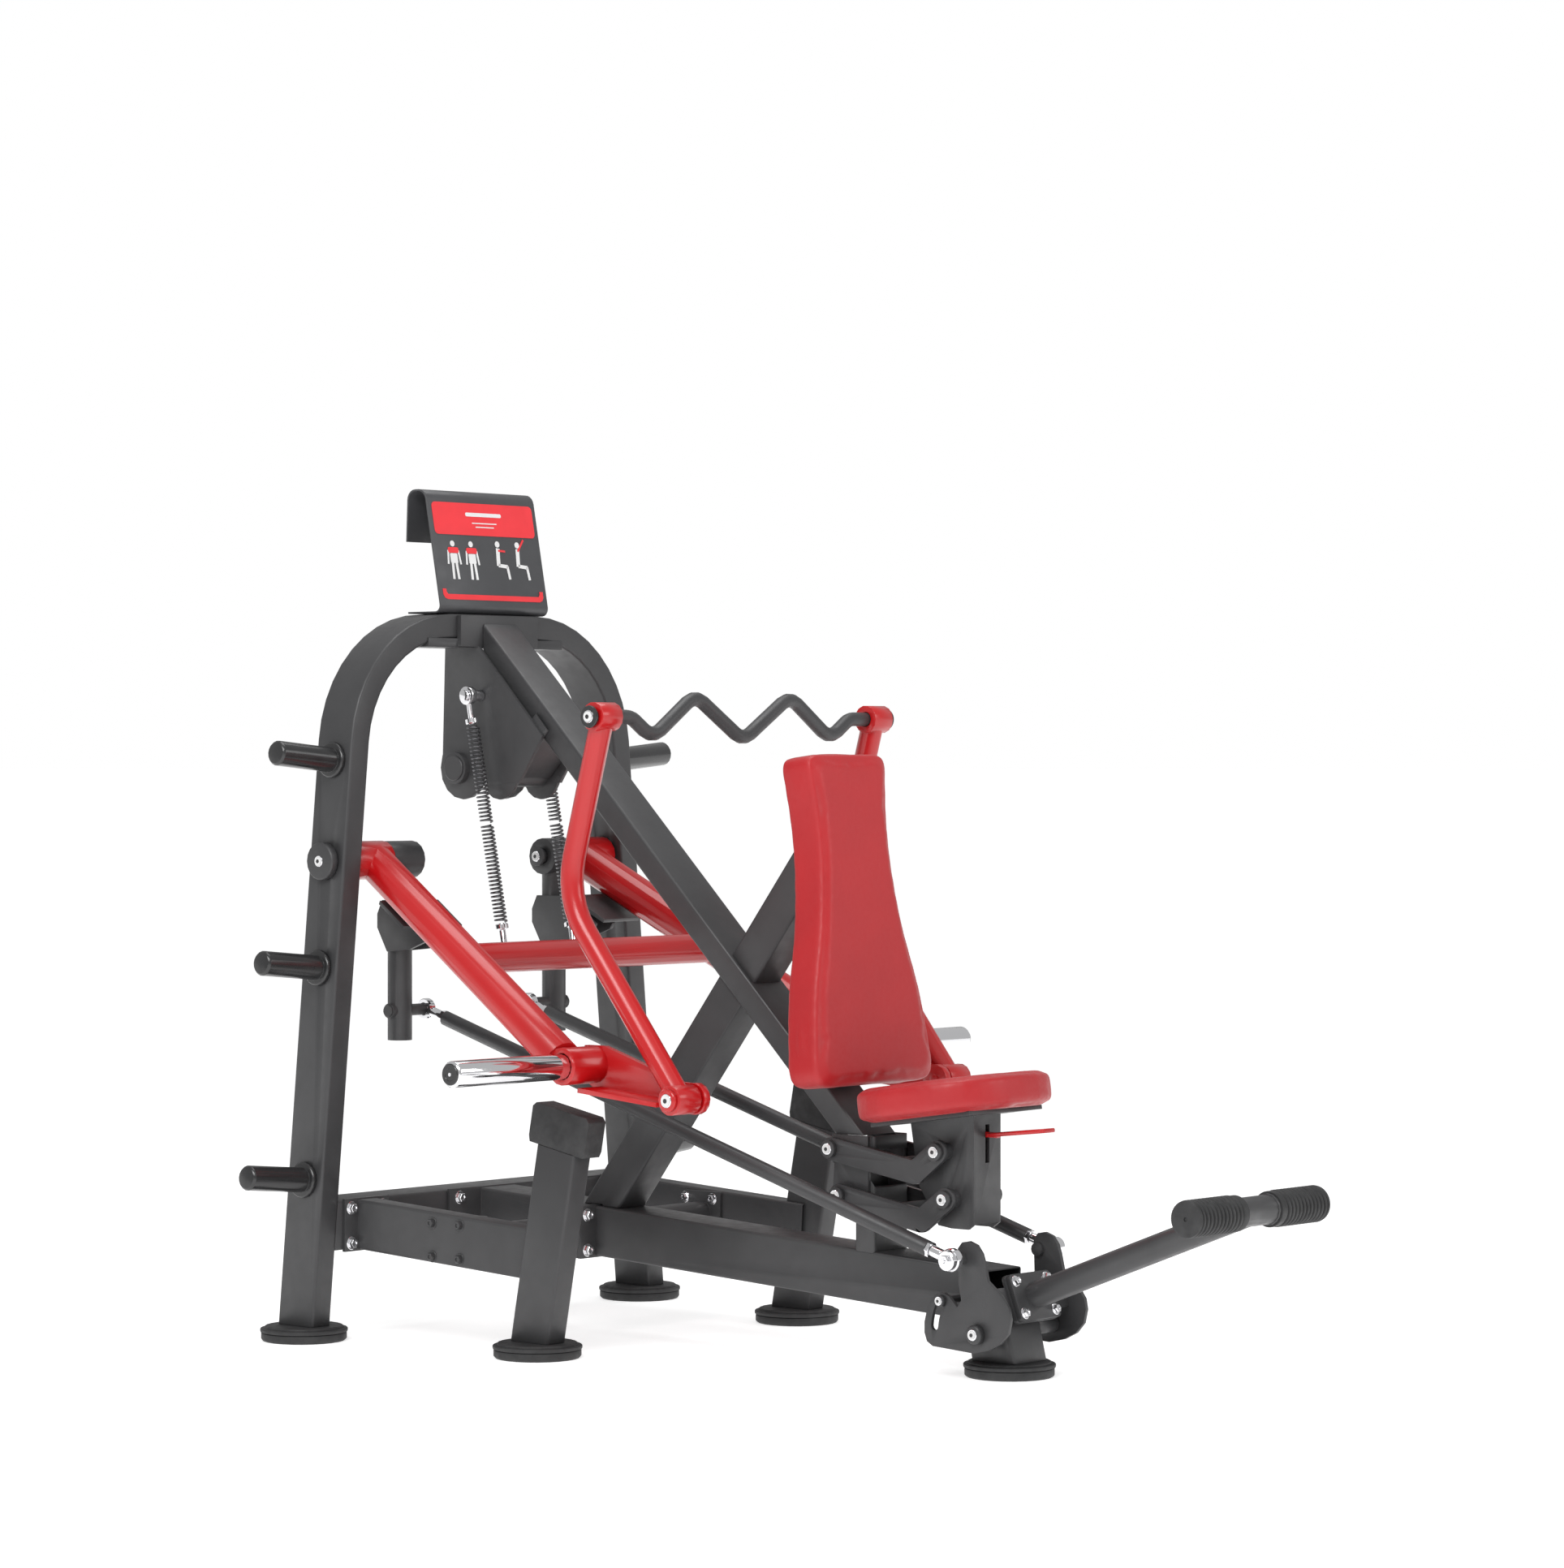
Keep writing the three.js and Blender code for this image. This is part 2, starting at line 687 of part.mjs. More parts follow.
function springHanger() {
  const plate = hangerPlate();
  const bolt = xBar(-90, 90, HANGER_BOSS.y, HANGER_BOSS.z, 12);
  return cut(join(archSaddle(), plate, mirrored(plate), hangerTies()), bolt);
}

// ---------- arm pivots ----------
// Headed axle through the arch leg that carries the arm hub and the lever hub.
function armAxle() {
  const face = archX(ARM_PIVOT.z) + HALF_TUBE / 2 + 4.5;
  const profile = [
    [0, -face - 16],
    [35, -face - 16],
    [38, -face - 13],
    [38, -face],
    [AXLE_RADIUS, -face],
    [AXLE_RADIUS, -180],
    [20, -180],
    [20, -172],
    [0, -172],
  ];
  return turnedAlongX(profile, ARM_PIVOT.y, ARM_PIVOT.z, 18);
}

const HUB_BORE = AXLE_RADIUS + 1.6;
const ARM_HUB_X = [274, 372];
const LEVER_HUB_X = [190, 272];
const LEVER_HUB_RADIUS = 38;

// ---------- lifting arm ----------
function armTube(radius, share = 1) {
  const { x, y, z } = ARM_TUBE_END;
  const from = [-ARM_TUBE_TOP_X, ARM_PIVOT.y, ARM_PIVOT.z];
  const to = [-x, y, z].map((end, i) => from[i] + (end - from[i]) * share);
  return roundBar(from, to, radius, 0, 8);
}

function armSide() {
  const web = polygon([
    [-650, 606],
    [-700, 606],
    [-900, 545],
    [-900, 492],
    [-700, 508],
    [-650, 540],
  ]);
  const { from, to, radius } = SLEEVE_HUB;
  const ledge = straight(
    rectangularSection(72, 9),
    [-392, -690, 524],
    [-392, -893, 506],
    ACROSS_X,
    1,
  );
  const lug = xBar(-366, -350, PRESS_PIVOT.y, PRESS_PIVOT.z, 30);
  const whole = join(
    armTube(ARM_TUBE_RADIUS),
    xBar(-ARM_HUB_X[1], -ARM_HUB_X[0], ARM_PIVOT.y, ARM_PIVOT.z, 39, 0, 8),
    xBar(-to, -from, SLEEVE.y, SLEEVE.z, radius, 0, 8),
    sidePlate(web, -366, -352),
    capsulePlate([-900, 518], [PRESS_PIVOT.y, PRESS_PIVOT.z], 28, -366, -352),
    ledge,
    lug,
    pressPin(),
  );
  return cut(
    whole,
    armTube(ARM_TUBE_RADIUS - WALL, 0.9),
    xBar(-400, -250, ARM_PIVOT.y, ARM_PIVOT.z, HUB_BORE),
    xBar(-LEVER_HUB_X[1] - 1, -150, ARM_PIVOT.y, ARM_PIVOT.z, LEVER_HUB_RADIUS + 1.5, 0, 8),
    xBar(-500, -300, SLEEVE.y, SLEEVE.z, SLEEVE.radius + 1.2),
  );
}

// The tie across the two arms, with a lug reaching back to each spring.
function armCrossTube() {
  const { y, z, radius } = CROSS_ARM;
  const end = 360;
  const insideArm = armTube(ARM_TUBE_RADIUS - 1);
  const tube = xBar(-end, end, y, z, radius, 0, 8);
  const lugs = [-1, 1].map((side) => {
    const faces = [side * 82, side * 90].sort((a, b) => a - b);
    const stud = [side * 86, side * 112].sort((a, b) => a - b);
    const head = [side * 108.5, side * 114].sort((a, b) => a - b);
    return join(
      capsulePlate([y, z], [SPRING_FOOT.y, SPRING_FOOT.z], 18, ...faces),
      xBar(...stud, SPRING_FOOT.y, SPRING_FOOT.z, LOOSE_STUD),
      xBar(...head, SPRING_FOOT.y, SPRING_FOOT.z, 16),
    );
  });
  return cut(join(tube, ...lugs), insideArm, mirrored(insideArm));
}

// Both arms with their hubs, sleeve bosses and press arm lugs, welded to one cross tube.
function mainArm() {
  const side = armSide();
  const { y, z, radius } = CROSS_ARM;
  const bore = xBar(-350, 350, y, z, radius - WALL, 0, 8);
  return cut(join(side, mirrored(side), armCrossTube()), bore);
}

// Weight sleeve: bright tube pushed through the arm's hub, closed by a plug.
function weightSleeve() {
  const { radius, end } = SLEEVE;
  const profile = [
    [0, -end],
    [radius - 4, -end],
    [radius, -end + 4],
    [radius, -SLEEVE_HUB.from + 4],
    [radius - 4, -SLEEVE_HUB.from + 4],
    [radius - 4, -end + 25],
    [0, -end + 25],
  ];
  return turnedAlongX(profile, SLEEVE.y, SLEEVE.z, 24);
}

function pressPin() {
  const profile = [
    [0, -440],
    [19, -440],
    [21, -438],
    [21, -432.6],
    [PIN_RADIUS, -432.6],
    [PIN_RADIUS, -346],
    [0, -346],
  ];
  return turnedAlongX(profile, PRESS_PIVOT.y, PRESS_PIVOT.z);
}

// ---------- press arms and handle ----------
function pressPath() {
  return new BentPath(
    [
      [-PRESS_X, PRESS_PIVOT.y, PRESS_PIVOT.z],
      [-PRESS_X, PRESS_CORNER.y, PRESS_CORNER.z],
      [-PRESS_X, PRESS_TOP.y, PRESS_TOP.z],
    ],
    [PRESS_CORNER.bend],
    6,
  );
}

function pressArm() {
  const path = pressPath();
  const whole = join(
    bent(roundSection(PRESS_TUBE_RADIUS), path, 7),
    xBar(-432, -372, PRESS_PIVOT.y, PRESS_PIVOT.z, 28),
    xBar(-428, -373, PRESS_TOP.y, PRESS_TOP.z, 28),
  );
  return cut(
    whole,
    bent(roundSection(PRESS_TUBE_RADIUS - WALL), path, 6),
    xBar(-450, -350, PRESS_PIVOT.y, PRESS_PIVOT.z, PIN_RADIUS + 1),
    xBar(-450, -350, PRESS_TOP.y, PRESS_TOP.z, HANDLE_RADIUS + 1),
  );
}

// The zigzag grip bar that turns in the two upper bushings.
function handleBar() {
  const { y, z } = PRESS_TOP;
  const low = z - 44;
  const high = z + 44;
  const half = [
    [-436, y, z],
    [-322, y, z],
    [-262, y, low + 4],
    [-140, y, high],
  ];
  const corners = [...half, [0, y, low], ...half.map(([x, ...rest]) => [-x, ...rest]).reverse()];
  const bends = [40, 40, 40, 40, 40, 40, 40];
  return bent(roundSection(HANDLE_RADIUS), new BentPath(corners, bends, 3), 6);
}

// ---------- pedal levers and push rods ----------
// The plate that the arm tube rests on, laid along the underside of the tube.
function saddlePlate() {
  const along = new THREE.Vector3(
    ARM_TUBE_TOP_X - ARM_TUBE_END.x,
    ARM_TUBE_END.y - ARM_PIVOT.y,
    ARM_TUBE_END.z - ARM_PIVOT.z,
  ).normalize();
  const away = new THREE.Vector3(0, 0, -1).addScaledVector(along, along.z).normalize();
  const across = new THREE.Vector3().crossVectors(along, away);
  const thickness = 8;
  const geometry = new THREE.BoxGeometry(140, 100, thickness);
  geometry.applyMatrix4(new THREE.Matrix4().makeBasis(across, along, away));
  const centre = new THREE.Vector3(-ARM_TUBE_TOP_X, ARM_PIVOT.y, ARM_PIVOT.z)
    .addScaledVector(along, 145)
    .addScaledVector(away, ARM_TUBE_RADIUS + GAP + 0.6 + thickness / 2);
  geometry.translate(centre.x + 52, centre.y, centre.z);
  return solid(geometry);
}

function lever() {
  const wall = polygon([
    [34, 812],
    [34, 840],
    [20, 868],
    [-60, 868],
    [-148, 812],
    [-140, 800],
    [-58, 770],
    [6, 764],
  ]);
  const { y, z } = ROD_EYE;
  const walls = join(sidePlate(wall, -256, -247), sidePlate(wall, -203, -194));
  const backWall = block([-252, 24, 800], [-198, 32, 850]);
  const overhead = abovePlate();
  const whole = join(
    roundBar([-LEVER_X, 0, ARM_PIVOT.z], [-LEVER_X, 0, LEVER_BOTTOM], 25),
    xBar(-LEVER_HUB_X[1], -LEVER_HUB_X[0], ARM_PIVOT.y, ARM_PIVOT.z, LEVER_HUB_RADIUS, 0, 8),
    saddlePlate(),
    cut(join(walls, backWall), overhead),
    xBar(-LEVER_X - 32, -LEVER_X, y, z, 15),
    xBar(-LEVER_X, -ROD_EYE.x - 8, y, z, 12),
    xBar(-LEVER_X, -ROD_EYE.x + 9, y, z, EYE_STUD),
    xBar(-ROD_EYE.x + 8, -ROD_EYE.x + 14, y, z, 9),
  );
  return cut(
    whole,
    roundBar([-LEVER_X, 0, ARM_PIVOT.z], [-LEVER_X, 0, LEVER_BOTTOM + 40], 22),
    xBar(-300, -170, ARM_PIVOT.y, ARM_PIVOT.z, HUB_BORE),
  );
}

// Everything on the arm's side of the saddle plate.
function abovePlate() {
  const slope = (ARM_PIVOT.z - ARM_TUBE_END.z) / (ARM_PIVOT.y - ARM_TUBE_END.y);
  const under = (y) => 900 + slope * y;
  const outline = polygon([
    [60, under(60)],
    [60, 1000],
    [-260, 1000],
    [-260, under(-260)],
  ]);
  return sidePlate(outline, -300, -150);
}

// A rod-end eye with its shank pointing from the eye's centre towards `target`.
function rodEnd(eye, target, { radius, bore, width, shank, length }) {
  const [x, y, z] = eye;
  const reach = Math.hypot(target[1] - y, target[2] - z);
  const along = [0, (target[1] - y) / reach, (target[2] - z) / reach];
  const at = (distance) => [x, y + along[1] * distance, z + along[2] * distance];
  const ring = xBar(x - width / 2, x + width / 2, y, z, radius, 0, 8);
  return cut(
    join(ring, roundBar(at(radius * 0.6), at(length), shank, 0, 6)),
    xBar(x - width, x + width, y, z, bore, 0, 6),
  );
}

const REAR_EYE = [-ROD_EYE.x, ROD_EYE.y, ROD_EYE.z];
const FRONT_EYE = [-PEDAL_EYE.x, PEDAL_EYE.y, PEDAL_EYE.z];
const ROD_END = { radius: 20, width: 14, shank: 10, length: 62 };

function pushRod() {
  const reach = Math.hypot(REAR_EYE[1] - FRONT_EYE[1], REAR_EYE[2] - FRONT_EYE[2]);
  const at = (distance) => REAR_EYE.map((start, i) => start + ((FRONT_EYE[i] - start) * distance) / reach);
  return join(
    roundBar(at(ROD_END.length - 4), at(reach - ROD_END.length + 4), ROD_RADIUS),
    rodEnd(REAR_EYE, FRONT_EYE, { ...ROD_END, bore: EYE_BORE }),
    rodEnd(FRONT_EYE, REAR_EYE, { ...ROD_END, bore: LOOSE_BORE }),
  );
}

// ---------- foot pedal ----------
const PEDAL_AXLE = 11;

function pedalPlateOutline() {
  return polygon([
    [-1368, 246],
    [-1378, 258],
    [-1394, 261],
    [-1412, 255],
    [-1424, 240],
    [-1430, 223],
    [-1438, 190],
    [-1472, 164],
    [-1488, 142],
    [-1492, 122],
    [-1486, 96],
    [-1468, 76],
    [-1440, 62],
    [-1405, 54],
    [-1308, 60],
    [-1294, 68],
    [-1288, 84],
    [-1288, 104],
    [-1296, 134],
    [-1306, 150],
    [-1320, 160],
    [-1334, 161],
    [-1347, 155],
    [-1366, 136],
    [-1376, 150],
    [-1370, 180],
  ]);
}

// The curved slot that runs over the frame's stop pin.
function travelSlot() {
  const arm = [STOP_PIN.y - PEDAL_PIVOT.y, STOP_PIN.z - PEDAL_PIVOT.z];
  const radius = Math.hypot(...arm);
  const start = Math.atan2(arm[1], arm[0]) + 0.015;
  const end = start - PEDAL_TRAVEL - 0.03;
  const half = 8.6;
  const { y, z } = PEDAL_PIVOT;
  const slot = new THREE.Shape();
  slot.absarc(y, z, radius + half, end, start, false);
  slot.absarc(y, z, radius - half, start, end, true);
  slot.closePath();
  const ends = [start, end].map((angle) =>
    xBar(-130, -100, y + radius * Math.cos(angle), z + radius * Math.sin(angle), half, 0, 6),
  );
  return join(sidePlate(slot, -130, -100, 3), ...ends);
}

const BAR_ANGLE = Math.atan2(
  PEDAL_BAR_END[1] - PEDAL_BAR_START[1],
  PEDAL_BAR_END[0] - PEDAL_BAR_START[0],
);
const BAR_ALONG = [Math.cos(BAR_ANGLE), Math.sin(BAR_ANGLE)];

function onPedalBar(distance) {
  const [y, z] = PEDAL_BAR_START;
  return [0, y + BAR_ALONG[0] * distance, z + BAR_ALONG[1] * distance];
}

function pedalYoke() {
  const plate = sidePlate(pedalPlateOutline(), -PEDAL_PLATE_X, -PEDAL_PLATE_X + 8);
  const { y, z } = PEDAL_EYE;
  const stud = join(
    xBar(-PEDAL_EYE.x + 8, -PEDAL_PLATE_X + 1, y, z, 11),
    xBar(-PEDAL_EYE.x - 12, -PEDAL_PLATE_X, y, z, LOOSE_STUD, 0, 6),
    xBar(-PEDAL_EYE.x - 17, -PEDAL_EYE.x - 11, y, z, 16, 0, 6),
    xBar(-PEDAL_PLATE_X + 7, -PEDAL_PLATE_X + 15, y, z, 13),
  );
  const bore = xBar(-130, -100, PEDAL_PIVOT.y, PEDAL_PIVOT.z, PEDAL_AXLE + 1);
  const side = cut(join(plate, stud), travelSlot(), bore);
  const block = straight(
    roundedRectangle(2 * PEDAL_PLATE_X - 2, 50, 4),
    onPedalBar(-38),
    onPedalBar(6),
    ACROSS_X,
    1,
  );
  const hollow = straight(
    rectangularSection(2 * PEDAL_PLATE_X - 18, 40),
    onPedalBar(-50),
    onPedalBar(0),
    ACROSS_X,
    1,
  );
  const cross = cut(block, hollow);
  const face = straight(roundedRectangle(124, 92, 8), onPedalBar(4), onPedalBar(12), ACROSS_X, 2);
  return join(side, mirrored(side), cross, face);
}

function pedalBar() {
  const [y, z] = PEDAL_BAR_END;
  const flange = straight(roundedRectangle(120, 90, 8), onPedalBar(12 + GAP), onPedalBar(22), ACROSS_X, 2);
  const reach = Math.hypot(y - PEDAL_BAR_START[0], z - PEDAL_BAR_START[1]);
  const tube = roundBar(onPedalBar(20), onPedalBar(reach), 25);
  const sleeve = xBar(-50, 50, y, z, 27);
  const grips = [
    xBar(-PEDAL_BAR_HALF, -45, y, z, 29, 0, 8),
    xBar(45, PEDAL_BAR_HALF, y, z, 29, 0, 8),
  ];
  const whole = join(flange, tube, sleeve, ...grips);
  const bore = xBar(-PEDAL_BAR_HALF + 12, -8, y, z, 20);
  const throat = roundBar(onPedalBar(10), onPedalBar(reach), 21);
  return cut(whole, bore, mirrored(bore), throat);
}

// Headed axle through the front leg with a spacer on each side.
function pedalAxle() {
  const plate = PEDAL_PLATE_X;
  const half = [
    [0, -plate - 14],
    [15, -plate - 14],
    [18, -plate - 11],
    [18, -plate - GAP],
    [PEDAL_AXLE, -plate - GAP],
    [PEDAL_AXLE, -plate + 8 + GAP],
    [16, -plate + 8 + GAP],
    [16, -TUBE / 2 - GAP],
    [PEDAL_AXLE, -TUBE / 2 - GAP],
  ];
  return turnedAlongX(symmetric(half), PEDAL_PIVOT.y, PEDAL_PIVOT.z);
}

function symmetric(half) {
  return [...half, ...half.map(([radius, x]) => [radius, -x]).reverse()];
}

function travelStopPin() {
  const plate = PEDAL_PLATE_X;
  const half = [
    [0, -plate - 8],
    [11, -plate - 8],
    [11, -plate - 1],
    [7, -plate - 1],
  ];
  return turnedAlongX(symmetric(half), STOP_PIN.y, STOP_PIN.z, 16);
}

// ---------- back pad and seat ----------
// A pad outline is drawn in X and Y, given its thickness with rounded edges, and centred on Z = 0.
function cushion(outline, thickness, edge, divisions) {
  const geometry = new THREE.ExtrudeGeometry(outline, {
    depth: thickness - 2 * edge,
    bevelThickness: edge,
    bevelSize: edge,
    bevelOffset: -edge,
    bevelSegments: 3,
    curveSegments: divisions,
  });
  geometry.translate(0, 0, edge - thickness / 2);
  return geometry;
}

// Broad at the lumbar, waisted, and wider again at the shoulders: [half-width, height] up one side.
function backPad() {
  const side = [
    [178, 40],
    [160, 176],
    [122, 322],
    [106, 473],
    [118, 616],
  ].map(([x, y]) => new THREE.Vector2(x, y));
  const top = PAD_HEIGHT;
  const other = side.map(({ x, y }) => new THREE.Vector2(-x, y)).reverse();
  const outline = new THREE.Shape();
  outline.moveTo(-138, 0);
  outline.lineTo(138, 0);
  outline.quadraticCurveTo(178, 0, 178, 40);
  outline.splineThru(side.slice(1));
  outline.quadraticCurveTo(118, top, 90, top);
  outline.lineTo(-90, top);
  outline.quadraticCurveTo(-118, top, -118, 616);
  outline.splineThru(other.slice(1));
  outline.quadraticCurveTo(-178, 0, -138, 0);
  const geometry = cushion(outline, PAD_THICKNESS, 12, 3);
  geometry.rotateX(Math.PI / 2);
  geometry.translate(0, PAD_THICKNESS / 2, 0);
  return inPadFrame(geometry);
}

function seatPad() {
  const points = [];
  const steps = 32;
  for (let step = 0; step < steps; step++) {
    const angle = (2 * Math.PI * step) / steps;
    const along = (value) => Math.sign(value) * Math.abs(value) ** 0.8 * SEAT.radius;
    points.push([along(Math.cos(angle)), along(Math.sin(angle))]);
  }
  const geometry = cushion(polygon(points), SEAT.thickness, 14, 1);
  return inSeatFrame(geometry);
}

// From the seat pad's own frame, flat and centred on it, to its place on the tilted carriage.
function inSeatFrame(geometry) {
  geometry.rotateX(-SEAT_TILT);
  geometry.translate(0, SEAT.y, SEAT.z);
  return solid(geometry);
}

const LINK_FRONT_UPPER = LINK_REAR_UPPER.map((value, i) => value + LINK_SPAN[i]);
const LINK_FRONT_LOWER = LINK_REAR_LOWER.map((value, i) => value + LINK_SPAN[i]);

// One of the two parallel links that carry the seat: a cranked plate each side and a tie bar.
function seatLink(rear, front, crank) {
  const outer = LINK_X + LINK_THICKNESS;
  const arm = join(
    capsulePlate(rear, crank, 22, -outer, -LINK_X),
    capsulePlate(crank, front, 22, -outer, -LINK_X),
  );
  const holes = [rear, front].map(([y, z]) => xBar(-90, -50, y, z, PIN_RADIUS + 1.2, 0, 6));
  const plate = cut(arm, ...holes);
  const tieY = -1150;
  const tieZ = rear[1] + ((crank[1] - rear[1]) * (tieY - rear[0])) / (crank[0] - rear[0]);
  const tie = xBar(-LINK_X - 1, LINK_X + 1, tieY, tieZ, 10, 0, 8);
  return join(plate, mirrored(plate), tie);
}

// Folded plate under the seat pad that hangs on the front ends of the four link plates.
function seatCarriage() {
  const cheekOutline = polygon([
    [CARRIAGE_FRONT, 282],
    [CARRIAGE_FRONT, 490],
    [-1190, 468],
    [-1210, 350],
    [-1258, 276],
    [-1290, 272],
    [-1330, 272],
  ]);
  const half = CARRIAGE_HALF;
  const cheeks = [sidePlate(cheekOutline, -half, -half + 6), sidePlate(cheekOutline, half - 6, half)];
  const front = block([-half, CARRIAGE_FRONT, 282], [half, CARRIAGE_FRONT + 6, 489]);
  const slot = block([-6, CARRIAGE_FRONT - 10, 396], [6, CARRIAGE_FRONT + 20, 468]);
  const under = -SEAT.thickness / 2 - GAP;
  const plate = inSeatFrame(boxBetween([-110, -120, under - 8], [110, 120, under]));
  const pins = [LINK_FRONT_UPPER, LINK_FRONT_LOWER].map((pivot) => linkPins(pivot, half - 5));
  return join(cut(join(...cheeks, front), slot), plate, ...pins);
}

// The flat pull that frees the seat, with its tongue through the carriage slot and a cross pin.
const PULL_PIVOT = [CARRIAGE_FRONT + 13, 449];

function seatHandle() {
  const [y, z] = PULL_PIVOT;
  const pin = xBar(-30, 30, y, z, 5, 0, 8);
  const tongue = block([-5, y - 40, z - 5], [5, y, z + 5]);
  const start = [0, CARRIAGE_FRONT - 12, z];
  const end = [0, -1491, z + 15];
  const grip = straight(roundedRectangle(34, 8, 3), start, end, ACROSS_X, 2);
  return join(pin, tongue, grip);
}

// ---------- springs ----------
function onSpring(distance) {
  const { x, y, z } = SPRING_TOP;
  const reach = springLength();
  const dy = (SPRING_FOOT.y - y) / reach;
  const dz = (SPRING_FOOT.z - z) / reach;
  return [-x, y + dy * distance, z + dz * distance];
}

function springLength() {
  return Math.hypot(SPRING_FOOT.y - SPRING_TOP.y, SPRING_FOOT.z - SPRING_TOP.z);
}

const SPRING_END = { radius: 19, width: 14, shank: 6.6, length: 60 };

// The stud that carries the spring's upper eye on the hanger plate.
function springStud() {
  const root = HANGER_X[1] + 0.6;
  const eye = SPRING_TOP.x;
  const profile = [
    [0, -eye - 14],
    [11, -eye - 14],
    [11, -eye - 8],
    [EYE_STUD, -eye - 8],
    [EYE_STUD, -eye + 8],
    [12, -eye + 8],
    [12, -root],
    [0, -root],
  ];
  return turnedAlongX(profile, SPRING_TOP.y, SPRING_TOP.z, 16);
}

function springEye() {
  return rodEnd(onSpring(0), onSpring(100), { ...SPRING_END, bore: EYE_BORE });
}

function springFoot() {
  const length = springLength();
  return rodEnd(onSpring(length), onSpring(length - 100), {
    ...SPRING_END,
    radius: 21,
    bore: LOOSE_BORE,
  });
}

// The coil is one long spring, split halfway into an upper and a lower length.
function springCoil(half) {
  const top = SPRING_END.length + GAP;
  const bottom = springLength() - SPRING_END.length - GAP;
  const middle = (top + bottom) / 2;
  const [from, to] = half === "upper" ? [top, middle - GAP / 2] : [middle + GAP / 2, bottom];
  return roundBar(onSpring(from), onSpring(to), COIL_RADIUS, COIL_RADIUS - 5, 8);
}

// ---------- assembly ----------
addPair("rear_foot", foot(-ARCH_FOOT_X, 0), "rubber");
addPair("side_foot", foot(-STOP_LEG.footX, STOP_LEG.footY), "rubber");
add("front_foot", foot(0, FRONT_FOOT_Y), "rubber");
add("arch_frame", archFrame(), "frame");
for (const [level, height] of Object.entries(PEG_HEIGHTS)) {
  addPair(`plate_peg_${level}`, storagePeg(height), "frame");
}
add("placard", placard(), "placard");
add("rear_crossmember", rearCrossmember(), "frame");
addPair("side_rail", sideRail(), "frame");
add("rear_beam", rearBeam(), "frame");
add("main_beam", mainBeam(), "frame");
addPair("stop_leg", stopLeg(), "frame");
addPair("stop_block", stopBlock(), "rubber");
add("front_leg", frontLeg(), "frame");
add("diagonal_beam", diagonalBeam(), "frame");
add("lower_brace", lowerBrace(), "frame");
add("back_pad_post", backPadPost(), "frame");
add("seat_post", seatPost(), "frame");
add("spring_hanger", springHanger(), "frame");
addPair("arm_axle", armAxle(), "frame");
add("pedal_axle", pedalAxle(), "frame");

addPair("lever", lever(), "frame");
addPair("push_rod", pushRod(), "frame");
add("pedal_yoke", pedalYoke(), "frame");
add("pedal_bar", pedalBar(), "frame");

add("main_arm", mainArm(), "red");
addPair("weight_sleeve", weightSleeve(), "chrome");
addPair("press_arm", pressArm(), "red");
add("handle_bar", handleBar(), "frame");

addPair("spring_stud", springStud(), "chrome");
addPair("spring_eye", springEye(), "chrome");
addPair("upper_coil", springCoil("upper"), "chrome");
addPair("lower_coil", springCoil("lower"), "chrome");
addPair("spring_foot", springFoot(), "chrome");

add("back_pad", backPad(), "leather");
add("seat_pad", seatPad(), "leather");
add("seat_link_upper", seatLink(LINK_REAR_UPPER, LINK_FRONT_UPPER, [-1225, 375]), "frame");
add("seat_link_lower", seatLink(LINK_REAR_LOWER, LINK_FRONT_LOWER, [-1240, 285]), "frame");
add("seat_carriage", seatCarriage(), "frame");
add("seat_handle", seatHandle(), "red");

// The part stands on Z = 0 with the centre of its outer box on the Z axis.
const outerBox = new THREE.Box3().setFromObject(machine);
const centre = outerBox.getCenter(new THREE.Vector3());
machine.position.set(-centre.x, -centre.y, -outerBox.min.z);

export default machine;
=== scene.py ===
"""Looks for the shoulder press machine: materials, pads, springs, grips, fasteners, placard and light."""

import json
from math import cos, pi, radians, sin

import bmesh
import bpy
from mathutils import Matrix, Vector


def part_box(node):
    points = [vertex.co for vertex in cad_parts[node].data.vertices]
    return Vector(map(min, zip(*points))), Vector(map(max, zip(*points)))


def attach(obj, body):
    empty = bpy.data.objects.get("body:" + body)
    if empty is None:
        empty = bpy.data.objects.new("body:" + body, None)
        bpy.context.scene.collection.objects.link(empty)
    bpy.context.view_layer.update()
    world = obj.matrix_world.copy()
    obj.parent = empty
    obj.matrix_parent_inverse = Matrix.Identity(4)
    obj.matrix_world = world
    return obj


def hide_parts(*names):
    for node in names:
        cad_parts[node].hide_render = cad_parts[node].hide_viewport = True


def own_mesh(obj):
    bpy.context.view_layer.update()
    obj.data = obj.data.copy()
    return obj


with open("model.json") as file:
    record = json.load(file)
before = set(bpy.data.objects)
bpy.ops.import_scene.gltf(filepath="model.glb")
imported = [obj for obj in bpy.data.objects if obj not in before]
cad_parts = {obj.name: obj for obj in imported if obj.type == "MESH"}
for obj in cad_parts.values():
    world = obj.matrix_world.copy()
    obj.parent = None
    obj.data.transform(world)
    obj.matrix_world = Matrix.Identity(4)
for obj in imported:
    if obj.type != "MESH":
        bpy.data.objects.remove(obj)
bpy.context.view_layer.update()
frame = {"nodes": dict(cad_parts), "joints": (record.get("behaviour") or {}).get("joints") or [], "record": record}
SIDES = {"right": -1, "left": 1}


# ---------- reading the frame ----------
def joint_at(name):
    """A joint's pivot, in metres."""
    found = [joint for joint in frame["joints"] if joint["name"] == name]
    return Vector(found[0]["pos_m"])


def joint_axis(name):
    found = [joint for joint in frame["joints"] if joint["name"] == name]
    return Vector(found[0]["axis"]).normalized()


def at_x(x, point):
    return Vector((x, point.y, point.z))


def middle(node):
    low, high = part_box(node)
    return (low + high) / 2


